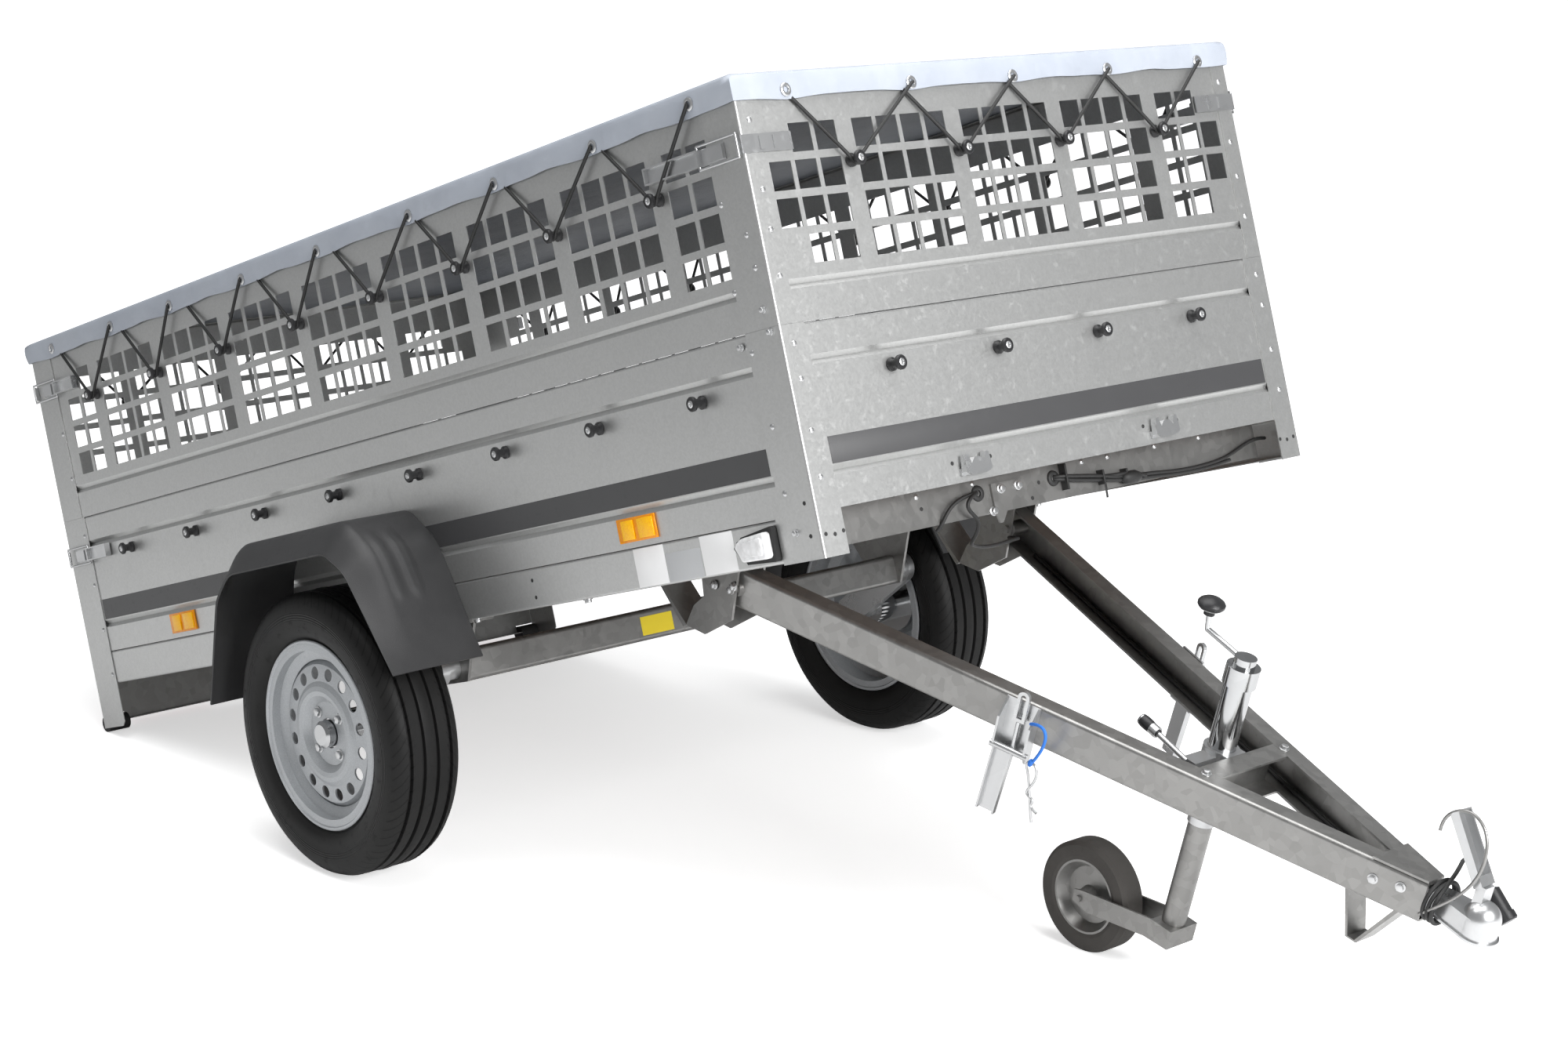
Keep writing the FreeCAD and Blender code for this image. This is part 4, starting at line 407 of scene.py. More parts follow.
# %% Plastics and rubbers
def moulded(name, dark, light, rough, grain, depth, coat=0.0, shine=0.3):
    material, tree, shader = new_material(name, [(a + b) / 2 for a, b in zip(dark, light)])
    grained = use_group(tree, grain_group, Grain=grain)
    handled = use_group(tree, marks_group, Size=6.0, Specks=40.0)
    base = blend_colour(tree, grained.outputs["Tone"], (*dark, 1), (*light, 1))
    dusty = blend_colour(tree, times(tree, handled.outputs["Clouds"], 0.25), base,
                         (*[min(1, v * 1.5 + 0.01) for v in light], 1))
    fill(tree, shader, {"Base Color": dusty, "Roughness": ramp(tree, handled.outputs["Specks"], *rough),
                        "Normal": bump(tree, grained.outputs["Height"], 0.4, depth),
                        "Coat Weight": coat, "Specular IOR Level": shine})
    return material


guard_plastic = moulded("mudguard plastic", (0.028, 0.028, 0.029), (0.037, 0.037, 0.038), (0.42, 0.52),
                        700.0, 0.0003)
knob_plastic = moulded("black knob plastic", (0.012, 0.012, 0.013), (0.02, 0.02, 0.021), (0.3, 0.42),
                       1500.0, 0.0002)
black_rubber_and_hole_shade = moulded("black rubber and hole shade", (0.018, 0.018, 0.018), (0.028, 0.028, 0.028), (0.6, 0.75),
                       900.0, 0.0003)
grey_rubber = moulded("grey wheel rubber", (0.045, 0.041, 0.038), (0.07, 0.065, 0.06), (0.65, 0.8),
                      700.0, 0.0003)
lamp_red = moulded("red lamp lens", (0.3, 0.01, 0.01), (0.42, 0.02, 0.015), (0.12, 0.2),
                   400.0, 0.0003, coat=0.5, shine=0.5)
print("plastics", guard_plastic.name, knob_plastic.name)

# %% [markdown]
# The floor is birch plywood with a dark film on it, pressed with a fine anti-slip mesh. It shows only
# when the tailgate is down.

# %% Film-faced plywood
plywood, tree, shader = new_material("film-faced plywood", (0.12, 0.07, 0.045))
place = object_place(tree)
mesh_map = add_node(tree, "ShaderNodeTexBrick", {"Vector": place, "Scale": 160.0, "Mortar Size": 0.03,
                                                 "Color1": (0.13, 0.075, 0.048, 1),
                                                 "Color2": (0.11, 0.062, 0.04, 1),
                                                 "Mortar": (0.07, 0.04, 0.027, 1)})
fill(tree, shader, {"Base Color": mesh_map.outputs["Color"], "Roughness": 0.5,
                    "Normal": bump(tree, mesh_map.outputs["Fac"], 0.3, 0.0004)})
print("floor", plywood.name)

# %% [markdown]
# The cover is polyester coated on both sides with pale blue-grey vinyl. Its weave shows as fine ribs
# through the coating, and packing creases cross it in broad soft waves, along which the cloth's colour
# is darkened as painted shade.

# %% Coated cover cloth
cover_cloth, tree, shader = new_material("coated cover cloth", (0.4, 0.43, 0.48))
place = object_place(tree)
weaves = [add_node(tree, "ShaderNodeTexWave", {"Vector": place, "Scale": 420.0, "Distortion": 0.6},
                   bands_direction=along).outputs["Fac"] for along in ("Z", "Y")]
threads = math_node(tree, "ADD", *weaves)
creases = add_node(tree, "ShaderNodeTexNoise",
                   {"Vector": place, "Scale": 9.0, "Detail": 3.0, "Roughness": 0.5})
handled = use_group(tree, marks_group, Size=5.0, Specks=30.0)
tone = blend_colour(tree, handled.outputs["Clouds"], (0.35, 0.38, 0.435, 1), (0.4, 0.43, 0.48, 1))
# Painted shade: the cloth is darkened where the creases' noise rises.
painted_crease_shade = blend_colour(tree, ramp(tree, creases.outputs[0], 0.0, 0.5, 0.45, 0.75), tone, (0.3, 0.325, 0.38, 1))
fine = bump(tree, threads, 0.25, 0.0003)
broad = add_node(tree, "ShaderNodeBump", {"Height": creases.outputs[0], "Strength": 0.5, "Distance": 0.02,
                                          "Normal": fine}).outputs[0]
fill(tree, shader, {"Base Color": painted_crease_shade, "Roughness": ramp(tree, handled.outputs["Specks"], 0.42, 0.5),
                    "Normal": broad})
print("cover", cover_cloth.name)

# %% [markdown]
# A road tyre's rubber is dark and matt. Its shoulders are cut across by fine sipes, whose colour is
# darkened as painted shade in the cuts, and the sidewall has faint rings from the mould. Both follow
# the angle and the radius about the wheel's own centre, so the material first moves the wheel's
# centre to the origin with a Mapping node.

# %% Tyre rubber with sipes and rings
WHEEL = Vector((-0.34864, 0.702, 0.2735))


def tyre_rubber(side):
    name = "tyre rubber " + ("left" if side > 0 else "right")
    material, tree, shader = new_material(name, (0.02, 0.02, 0.02))
    place = object_place(tree)
    centred = add_node(tree, "ShaderNodeMapping",
                       {"Vector": place, "Location": (-WHEEL.x, -side * WHEEL.y, -WHEEL.z)}).outputs[0]
    axes = add_node(tree, "ShaderNodeSeparateXYZ", {0: centred})
    angle = math_node(tree, "ARCTAN2", axes.outputs["Z"], axes.outputs["X"])
    across = math_node(tree, "ABSOLUTE", axes.outputs["Y"])
    squares = [times(tree, axes.outputs[axis], axes.outputs[axis]) for axis in ("X", "Z")]
    reach = math_node(tree, "SQRT", math_node(tree, "ADD", *squares))
    slant = math_node(tree, "MULTIPLY_ADD", across, 60.0, times(tree, angle, 72 / math.tau))
    cut = math_node(tree, "LESS_THAN", math_node(tree, "FRACT", slant), 0.16)
    on_shoulder = times(tree, math_node(tree, "GREATER_THAN", across, 0.036),
                            math_node(tree, "GREATER_THAN", reach, 0.252))
    sipes = times(tree, cut, on_shoulder)
    rings = times(tree, math_node(tree, "SINE", times(tree, reach, 1400.0)),
                      times(tree, math_node(tree, "LESS_THAN", reach, 0.236),
                                math_node(tree, "GREATER_THAN", reach, 0.222)))
    grained = use_group(tree, grain_group, Grain=800.0)
    handled = use_group(tree, marks_group, Size=7.0, Specks=45.0)
    base = blend_colour(tree, grained.outputs["Tone"], (0.008, 0.008, 0.0082, 1), (0.012, 0.012, 0.0122, 1))
    dust = times(tree, handled.outputs["Clouds"], 0.3)
    dusty = blend_colour(tree, dust, base, (0.022, 0.021, 0.019, 1))
    # Painted shade: the sipes are coloured darker than the rubber around them.
    sipe_shaded_colour = blend_colour(tree, sipes, dusty, (0.006, 0.006, 0.006, 1))
    height = math_node(tree, "SUBTRACT", times(tree, rings, 0.2), sipes)
    fill(tree, shader, {"Base Color": sipe_shaded_colour, "Specular IOR Level": 0.18,
                        "Roughness": ramp(tree, handled.outputs["Specks"], 0.5, 0.68),
                        "Normal": bump(tree, height, 0.8, 0.002)})
    return material


tyre_finish = {"left": tyre_rubber(1), "right": tyre_rubber(-1)}
print("tyres", [m.name for m in tyre_finish.values()])

# %% [markdown]
# The remaining finishes are small: amber reflectors with prisms moulded in, clear lamp lenses, blank
# labels, the dark vinyl stripe, and blue and black cord.

# %% Reflectors, lenses, labels and stripe
def prism_lens(name, dark, light, prisms):
    material, tree, shader = new_material(name, light)
    place = object_place(tree)
    cells = add_node(tree, "ShaderNodeTexVoronoi", {"Vector": place, "Scale": prisms}, distance="CHEBYCHEV")
    facets = blend_colour(tree, cells.outputs["Distance"], (*light, 1), (*dark, 1))
    fill(tree, shader, {"Base Color": facets, "Roughness": ramp(tree, cells.outputs["Distance"], 0.1, 0.25),
                        "Normal": bump(tree, cells.outputs["Distance"], 0.5, 0.001),
                        "Specular IOR Level": 0.3, "Coat Weight": 0.2, "Coat Roughness": 0.1})
    return material


amber = prism_lens("amber reflector", (0.9, 0.36, 0.0), (1.0, 0.58, 0.0), 380.0)
amber_case = prism_lens("amber reflector case", (0.7, 0.2, 0.0), (0.9, 0.34, 0.0), 600.0)
clear_lens = prism_lens("clear lamp lens", (0.6, 0.6, 0.6), (0.85, 0.85, 0.86), 90.0)


def printed(name, colour, rough=0.5):
    material, tree, shader = new_material(name, colour)
    handled = use_group(tree, marks_group, Size=12.0, Specks=80.0)
    worn = blend_colour(tree, times(tree, handled.outputs["Clouds"], 0.35), (*colour, 1),
                        (*[v * 0.82 for v in colour], 1))
    fill(tree, shader, {"Base Color": worn,
                        "Roughness": ramp(tree, handled.outputs["Specks"], rough, rough + 0.1)})
    return material


white_label = printed("white label", (0.86, 0.86, 0.86))
silver_label = printed("silver label", (0.48, 0.49, 0.5), 0.4)
yellow_label = printed("yellow label", (0.8, 0.62, 0.02))
stripe_vinyl = printed("dark grey stripe", (0.05, 0.05, 0.052), 0.4)
blue_cord = printed("blue cord", (0.02, 0.16, 0.6), 0.6)
black_cord = printed("black elastic cord", (0.012, 0.012, 0.012), 0.6)
print("small finishes made")

# %% [markdown]
# The CAD nodes keep their shapes and take these finishes through their own material slots.

# %% Finishes of the CAD nodes
# The black rubber finish is also used for the free holes' discs, where it is painted shade.
node_finish = {
    galvanised: ["side_rails", "lower_sides", "lower_front", "corner_posts", "mesh_sides",
                 "mesh_ends", "tailgate", "tailgate_hinges"],
    # The cross members and the guide plate get the darker zinc as painted shade under the front panel.
    dark_zinc_and_shade: ["drawbar_arms", "drawbar_cross", "nose_plate", "stirrup", "axle", "tilt_brackets",
                   "cross_members", "guide_plate", "jockey_leg", "jockey_fork", "jockey_rim"],
    plated: ["front_hooks", "swing_arms", "coupler", "coupler_handle", "arm_clamps", "jockey_clamp",
             "jockey_crank", "toggle_latches"],
    chromed: ["jockey_tube", "hub_left", "hub_right"],
    wheel_paint: ["rim_left", "rim_right"],
    plywood: ["floor_panel"],
    cover_cloth: ["cover"],
    guard_plastic: ["mudguards"],
    knob_plastic: ["lacing_knobs", "tailgate_knobs", "harness_plug"],
    black_rubber_and_hole_shade: ["marker_lamps", "rear_buffers"],
    black_cord: ["harness_cable"],
    lamp_red: ["rear_lamps"],
    grey_rubber: ["jockey_tyre"],
    tyre_finish["left"]: ["tyre_left"],
    tyre_finish["right"]: ["tyre_right"],
}
for finish, nodes in node_finish.items():
    for node in nodes:
        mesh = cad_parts[node].data
        if not mesh.materials:
            mesh.materials.append(finish)
        for index in range(len(mesh.materials)):
            mesh.materials[index] = finish
print("finished", sum(len(nodes) for nodes in node_finish.values()), "of", len(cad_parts), "nodes")

# %% [markdown]
# The cover is one sheet: a lid over the upper tier, folded down all round into a flap. The lacing
# pulls the flap in at each eyelet and lets it swell and rise between them. The edge of a grid is
# extruded downwards row by row, and the rows are then moved as the cloth lies.

# %% Cover
SIDE_EYELETS = [(-103, 752), (-367, 743), (-658, 743), (-933, 744), (-1255, 743), (-1542, 743),
                (-1838, 745), (-2097, 748), (-2374, 748)]
END_EYELETS = [(-490, 743), (-210, 740), (33, 738), (275, 738), (520, 740)]
SIDE_ALONG = [x for x, z in SIDE_EYELETS]
END_ALONG = [y for y, z in END_EYELETS]
EYELET_REACH = 135.0
LID = 775.0
FLAP_ROWS = [(0, 0), (5.0, 2.0), (7.5, 7.0), (8.5, 16.0), (9.0, 26.0), (9.0, 36.0), (8.5, 47.0)]
FOLD_INSET = 4.0
HALF_LENGTH = -BOX_MIDDLE - FOLD_INSET
HALF_WIDTH = POST_FACE - FOLD_INSET


def pulled(value, eyelets):
    """How near a place along the flap is to an eyelet: 1 at it, 0 midway between two."""
    gap = min(abs(value - eyelet) for eyelet in eyelets)
    return max(0.0, 1 - gap / EYELET_REACH)


def lid_rise(x, y):
    """How far the lid's cloth lies above its fold: it sags in the middle and ripples."""
    edge = min((HALF_LENGTH - abs(x)) / 60.0, (HALF_WIDTH - abs(y)) / 60.0, 1.0)
    sag = 3.5 * math.sin(edge * math.pi / 2) * (0.7 + 0.3 * math.cos(x / 190.0))
    ripple = 1.0 * edge * math.sin(x / 47.0 + 2.0 * math.sin(y / 160.0)) * math.cos(y / 83.0)
    return ripple - sag


select_only()
bpy.ops.mesh.primitive_grid_add(x_subdivisions=168, y_subdivisions=80, size=2,
                                location=(BOX_MIDDLE * MM, 0, LID * MM))
cover_sheet = named("cover_sheet")
cover_sheet.scale = (HALF_LENGTH * MM, HALF_WIDTH * MM, 1)
apply_place(cover_sheet)
edit_all()
bpy.ops.mesh.region_to_loop()
for (out, above), (next_out, below) in zip(FLAP_ROWS, FLAP_ROWS[1:]):
    bpy.ops.mesh.extrude_region_move(TRANSFORM_OT_translate={"value": (0, 0, (above - below) * MM)})
leave_edit()
row_drops = [drop for out, drop in FLAP_ROWS]
for vertex in cover_sheet.data.vertices:
    x, y = vertex.co.x / MM - BOX_MIDDLE, vertex.co.y / MM
    down = LID - vertex.co.z / MM
    at_end = abs(abs(x) - HALF_LENGTH) < 0.5
    at_side = abs(abs(y) - HALF_WIDTH) < 0.5
    if not (at_end or at_side):
        vertex.co.z += lid_rise(x, y) * MM
        continue
    row = min(range(len(row_drops)), key=lambda index: abs(row_drops[index] - down))
    out = FLAP_ROWS[row][0]
    pull = pulled(y, END_ALONG) if at_end else pulled(x + BOX_MIDDLE, SIDE_ALONG)
    free = 1 - pull
    low = row / (len(FLAP_ROWS) - 1)
    swell = (3.5 * free * math.sin(low * math.pi) - 1.2 * pull) if row > 1 else 0.0
    rise = (5.0 * free * low + 0.8 * math.sin((x + y) / 21.0) * low) if row > 1 else 0.0
    if at_end:
        vertex.co.x += math.copysign(out + swell, x) * MM
    if at_side:
        vertex.co.y += math.copysign(out + swell, y) * MM
    vertex.co.z += rise * MM
select_only(cover_sheet)
thicken = cover_sheet.modifiers.new("cloth thickness", "SOLIDIFY")
thicken.thickness = 1.0 * MM
thicken.offset = 0
bpy.ops.object.modifier_apply(modifier=thicken.name)
fit(cover_sheet, BOX, "bed", cover_cloth, 60)
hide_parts("cover")

# %% [markdown]
# Plated eyelets are pressed into the flap. Each is a rolled ring with a hole through it, spun from
# its outline.

# %% Eyelets
def eyelet_pattern():
    outline = [(-1.0, 5.0), (-1.0, 11.0), (0.4, 11.2), (1.6, 9.6),
               (2.0, 7.6), (1.6, 5.8), (0.4, 5.0), (-1.0, 5.0)]
    return turned("eyelet", outline, 24)


SIDE_FLAP, FRONT_FLAP, REAR_FLAP = 604.0, 6.0, -2496.0
eyelet_places = []
for side in SIDES:
    eyelet_places += [facing(x, side * SIDE_FLAP, z - 1, (0, side, 0)) for x, z in SIDE_EYELETS]
eyelet_places += [facing(FRONT_FLAP, y, z, (1, 0, 0)) for y, z in END_EYELETS]
eyelet_places += [facing(REAR_FLAP, y, z, (-1, 0, 0)) for y, z in END_EYELETS]
eyelets = fit(copies("cover_eyelets", eyelet_pattern(), eyelet_places), BOX, "bed", plated)

# %% [markdown]
# A black elastic cord laces the flap to the spool knobs. From each eyelet it runs down to a knob,
# half round its waist and back up under the flap. Each V is one smooth bar.

# %% Lacing
SIDE_KNOBS = [-228.4 - 285.0 * index for index in range(8)]
END_KNOBS = [-373.5, -124.5, 124.5, 373.5]
KNOB_HEIGHT, KNOB_WAIST = 621.0, 8.0
UNDER_FLAP = 730.0
CORD = 3.2


def lace(eyelet, knob, under):
    """One V of lacing in the plane of a panel: (along, up) of its eyelet, knob and end under the flap."""
    around = [(knob + KNOB_WAIST * math.cos(a), KNOB_HEIGHT + KNOB_WAIST * math.sin(a))
              for a in [math.radians(d) for d in (20, -30, -90, -150, -200)]]
    return [eyelet] + around + [(under, UNDER_FLAP)]


laces = []
for side in SIDES:
    for eyelet, knob in zip(SIDE_EYELETS, SIDE_KNOBS):
        path = lace(eyelet, knob, knob - 118.0)
        depths = [606.5] + [610.0] * (len(path) - 2) + [600.0]
        laces.append(wire("lace", [(a, side * depth, b) for (a, b), depth in zip(path, depths)], CORD))
for end, sign in ((FRONT_FLAP, 1), (REAR_FLAP, -1)):
    for eyelet, knob in zip(END_EYELETS[1:], END_KNOBS):
        path = lace(eyelet, knob, knob - 105.0)
        depths = [2.5] + [5.0] * (len(path) - 2) + [-4.0]
        laces.append(wire("lace", [(end + sign * depth, a, b) for (a, b), depth in zip(path, depths)], CORD))
fit(joined("cover_lacing", laces), BOX, "bed", black_cord, 60)

# %% [markdown]
# Flat parts with cornered outlines, such as stripes, lenses and ties, are drawn as a polygon. It is
# extruded to its depth, eased round its edges and turned to face the side or the front.

# %% Helpers for cornered plates
def slab(name, outline, depth, bevel, segments):
    """A polygon in millimetres in the plane of the first two axes, extruded along the third."""
    select_only()
    bpy.ops.mesh.primitive_circle_add(vertices=len(outline), radius=1, fill_type="NGON", location=(0, 0, 0))
    obj = named(name)
    for vertex, (a, b) in zip(obj.data.vertices, outline):
        vertex.co = (a * MM, b * MM, 0)
    edit_all()
    bpy.ops.mesh.extrude_region_move(TRANSFORM_OT_translate={"value": (0, 0, depth * MM)})
    turn_faces_out()
    ease_edges(bevel, segments)
    return obj


def placed(obj, place):
    obj.matrix_world = place @ obj.matrix_world
    apply_place(obj)
    return obj


def on_side(y):
    """Turns a slab so that its first axis runs forward, its second up, and its depth outward on the right."""
    return Matrix(((1, 0, 0, 0), (0, 0, -1, -y * MM), (0, 1, 0, 0), (0, 0, 0, 1)))


def on_front(x):
    """Turns a slab so that its first axis runs to the left, its second up, and its depth forward."""
    return Matrix(((0, 0, 1, x * MM), (1, 0, 0, 0), (0, 1, 0, 0), (0, 0, 0, 1)))


# %% [markdown]
# A plain dark vinyl stripe runs along the lower tier, above its lowest groove. On the sides it ends
# at the mudguard, whose outline its ends follow. Blank labels are stuck to the right side rail.

# %% Stripes and labels
FRONT_PART = [(-92, 142), (-92, 186), (-1088, 186), (-1069, 168), (-1055, 142)]
REAR_PART = [(-1584, 142), (-1569, 168), (-1550, 186), (-2388, 186), (-2388, 142)]
front_stripe = plate("stripe", (FRONT_PANEL, -541, 142), (FRONT_PANEL + 0.6, 541, 186), 0.15)
side_stripes = [placed(slab("stripe", outline, 0.5, 0.15, 1), on_side(PANEL_FACE))
                for outline in (FRONT_PART, REAR_PART)]
side_pair = mirrored_pair(joined("side_stripe", side_stripes))
fit(joined("stripes", [side_pair, front_stripe]), BOX, "bed", stripe_vinyl)


def label(name, start, end, top):
    return plate(name, (start, -PANEL_FACE - 0.4, 3), (end, -PANEL_FACE + 0.1, top), 0.12)


white_pair = [label("label", -484, -401, 69), label("label", -302, -216, 69)]
fit(joined("white_labels", white_pair), BOX, "bed", white_label)
fit(label("silver_label", -399, -305, 52), BOX, "bed", silver_label)

# %% [markdown]
# Amber reflectors sit behind the front lamp and near the tail. Each is a case with two raised
# fields of prisms on it, and the case shows as a darker border round them.

# %% Side reflectors
STARTS = [-510, -2100]
cases = [plate("reflector_case", (x, -600, 82), (x + 106, -596, 124), 1.5) for x in STARTS]
fields = [plate("reflector_field", (x + near, -602.5, 86), (x + far, -599, 120), 1.2)
          for x in STARTS for near, far in ((14, 47), (59, 101))]
fit(mirrored_pair(joined("reflector_cases", cases)), BOX, "bed", amber_case)
fit(mirrored_pair(joined("side_reflectors", fields)), BOX, "bed", amber)

# %% [markdown]
# The front marker lamps have a clear lens that narrows towards the back, with a raised field in the
# middle, in a rubber surround from the CAD model.

# %% Marker lamp lenses
LENS = [(-112, 13), (-108, 17), (-108, 53), (-112, 57), (-166, 53), (-180, 47), (-186, 40), (-172, 14)]
RAISED_FIELD = [(-118, 20), (-114, 24), (-114, 46), (-118, 50), (-158, 46), (-164, 40), (-158, 22)]
lens = placed(slab("marker_lens", LENS, 17.0, 4.0, 3), on_side(607))
window = placed(slab("lens_window", RAISED_FIELD, 5.0, 1.6, 2), on_side(622))
fit(mirrored_pair(joined("marker_lenses", [lens, window])), BOX, "bed", clear_lens)

# %% [markdown]
# The panels are riveted and bolted to the corner posts. A rivet is a low dome and a bolt a hexagon
# on a washer. Each is made once and copied along the posts.

# %% Rivets and bolts
def rivet_pattern():
    return turned("rivet", [(-0.5, 5.0), (0.6, 5.0), (1.8, 3.8), (2.5, 2.0), (2.7, 0.0)], 16)


def bolt_pattern(size):
    rim = size * 1.05
    washer = turned("washer", [(-0.3, rim), (1.2, rim), (1.5, size * 0.98), (1.5, 0.0)], 24)
    select_only()
    bpy.ops.mesh.primitive_cylinder_add(vertices=6, radius=size * 0.8 * MM, depth=5.5 * MM,
                                        location=(0, 0, 4.0 * MM))
    head = named("bolt_head")
    ease_edges(0.6, 2)
    apply_place(head)
    return joined("bolt", [washer, head])


SIDE_RIVETS = [(-76, 672), (-79, 581), (-33, 523), (-89, 440), (-28, 469), (-63, 218), (-65, 110), (-76, 340),
               (-2412, 672), (-2410, 560), (-2410, 460), (-2404, 330), (-2404, 220), (-2404, 120), (-2404, 20)]
FRONT_RIVETS = [(-573, 283), (-573, 200), (-573, 125), (-573, 340),
                (-574, 588), (-574, 524), (-574, 449), (-574, 700)]
BOLTS = [(-22, 365), (-28, 402), (-99, 353), (-55, 45)]


def on_both_sides(reach, spots):
    """Places facing out on the left and the right, at (along, up) spots."""
    return [facing(x, side * reach, z, (0, side, 0)) for side in SIDES for x, z in spots]


def on_both_ends_of(face, spots):
    """Places facing forward, right and left of the middle, at (across, up) spots."""
    return [facing(face, side * y, z, (1, 0, 0)) for side in SIDES for y, z in spots]


rivet_places = on_both_sides(POST_FACE, SIDE_RIVETS) + on_both_ends_of(0.0, FRONT_RIVETS)
fit(copies("post_rivets", rivet_pattern(), rivet_places), BOX, "bed", plated)
fit(copies("post_bolts", bolt_pattern(6.0), on_both_sides(POST_FACE, BOLTS)), BOX, "bed", plated)

# %% [markdown]
# The road wheels' tyres show their treads, so each CAD tyre is replaced by one with four grooves
# round it, which are part of the outline that is spun about the axle.

# %% Tyres with treads
OUTER_HALF = [(61.0, 166.0), (61.0, 178.0), (62.5, 185.0), (70.0, 192.0), (73.4, 199.0), (76.0, 210.0),
              (77.0, 222.0), (77.3, 224.0), (76.9, 236.0), (75.3, 245.5), (73.6, 250.5), (71.9, 255.5),
              (67.0, 261.5), (61.0, 267.0), (55.0, 269.6)]


def groove(centre):
    return [(centre + 4.5, 272.0), (centre + 3.0, 265.0), (centre - 3.0, 265.0), (centre - 4.5, 272.0)]


def tyre_outline():
    crown = groove(44.0) + groove(15.0) + [(0.0, 273.5)] + groove(-15.0) + groove(-44.0)
    across = [(-along, radius) for along, radius in OUTER_HALF[::-1]]
    inner = [(-52.0, 166.0), (-52.0, 180.0), (-64.0, 205.0), (-67.0, 225.0), (-60.0, 252.0),
             (-40.0, 259.0), (40.0, 259.0), (60.0, 252.0), (67.0, 225.0), (64.0, 205.0),
             (52.0, 180.0), (52.0, 166.0), (61.0, 166.0)]
    return OUTER_HALF + crown + across + inner


for name, side in (("left", 1), ("right", -1)):
    centre = (WHEEL.x / MM, side * WHEEL.y / MM, WHEEL.z / MM)
    tyre = turned("tyre_treaded_" + name, tyre_outline(), 96, centre, (0, side, 0))
    fit(tyre, LEVEL, "wheel_" + name, tyre_finish[name], 28)
    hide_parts("tyre_" + name)

# %% [markdown]
# Four bolts hold each wheel, round its chromed cap.

# %% Wheel bolts
DISC_FACE = 744.0
BOLT_CIRCLE = 49.0
for name, side in (("left", 1), ("right", -1)):
    places = []
    for turn in (45, 135, 225, 315):
        along = WHEEL.x / MM + BOLT_CIRCLE * math.cos(math.radians(turn))
        up = WHEEL.z / MM + BOLT_CIRCLE * math.sin(math.radians(turn))
        places.append(facing(along, side * DISC_FACE, up, (0, side, 0)))
    bolts = copies("wheel_bolts_" + name, bolt_pattern(10.5), places)
    fit(bolts, LEVEL, "wheel_" + name, plated)

# %% [markdown]
# The crank and the clamp's lever have black plastic grips, slipped over the steel.

# %% Black grips of the jockey wheel
KNOB = [(-1.0, 6.0), (-1.0, 9.6), (6.2, 9.6), (9.5, 16.0), (12.0, 21.0), (15.5, 23.6), (20.0, 23.8),
        (24.0, 21.2), (28.0, 15.0), (30.8, 7.0), (31.6, 0.0)]
GRIP = [(-2.0, 5.4), (-2.0, 7.0), (6.0, 8.8), (20.0, 10.7), (32.0, 10.9), (40.5, 9.5), (41.5, 0.0)]
for grip in (turned("crank_knob", KNOB, 40, (719, 0, 202)),
             turned("clamp_grip", GRIP, 28, (738, -80, 3), (-38, 0, 7))):
    fit(grip, BAR, "drawbar", knob_plastic)

# %% [markdown]
# The mudguards are moulded plastic, so their corners are round and two ribs are pressed down their
# front. Each CAD guard is replaced by a grid bent over the same two outlines: the roof's from the
# box to the shoulder, and then down to the lip's.

# %% Mudguards
GUARD_X = -1319.0
ROOF = [(335, -68), (270, 134), (251, 168), (189, 225), (-189, 225), (-251, 168), (-270, 134), (-335, -68)]
LIP = [(335, -68), (239, 121), (226, 136), (174.5, 173), (-174.5, 173), (-226, 136), (-239, 121), (-335, -68)]


def rounded(points, reach, steps=4):
    """The same outline with each inner corner cut back by the reach and bridged by a curve."""
    smooth = [points[0]]
    for before, corner, after in zip(points, points[1:], points[2:]):
        ends = []
        for other in (before, after):
            length = math.dist(corner, other)
            share = min(reach, 0.45 * length) / length
            ends.append([c + (o - c) * share for c, o in zip(corner, other)])
        for step in range(steps + 1):
            t = step / steps
            smooth.append(tuple((1 - t) ** 2 * a + 2 * t * (1 - t) * c + t * t * b
                                for a, c, b in zip(ends[0], corner, ends[1])))
    return smooth + [points[-1]]


def refined(points, longest=9.0):
    """Adds points along the straight runs, so that ribs can be pressed into them."""
    fine = [points[0]]
    for start, end in zip(points, points[1:]):
        count = max(1, round(math.dist(start, end) / longest))
        fine += [tuple(a + (b - a) * (step + 1) / count for a, b in zip(start, end)) for step in range(count)]
    return fine


def shares(points):
    """How far along the outline each point lies, from 0 to 1."""
    total, far = [0.0], 0.0
    for start, end in zip(points, points[1:]):
        far += math.dist(start, end)
        total.append(far)
    return [value / far for value in total]


def along_outline(points, measure, share):
    for index in range(len(points) - 1):
        if share <= measure[index + 1] or index == len(points) - 2:
            t = (share - measure[index]) / (measure[index + 1] - measure[index])
            return [a + (b - a) * t for a, b in zip(points[index], points[index + 1])]


ROUND_ROOF = rounded(ROOF, 26.0)
ROOF_CURVE = refined(ROUND_ROOF)
ROOF_MEASURE = shares(ROOF_CURVE)
ROUND_LIP = rounded(LIP, 22.0)
LIP_MEASURE = shares(ROUND_LIP)
CORNER_SHARES = list(zip(shares(ROUND_ROOF), LIP_MEASURE))
RIBS = [(676.0, 14.0), (716.0, 11.0)]
RIB_TOP, RIB_FOOT = 205.0, 62.0
RIB_LIFT, RIB_SLOPE = 4.0, 4.0


def lip_share(share):
    """The lip's share that lies across from a share of the roof, corner to corner."""
    for (a, b), (c, d) in zip(CORNER_SHARES, CORNER_SHARES[1:]):
        if share <= c:
            return b + (d - b) * (share - a) / (c - a)
    return 1.0


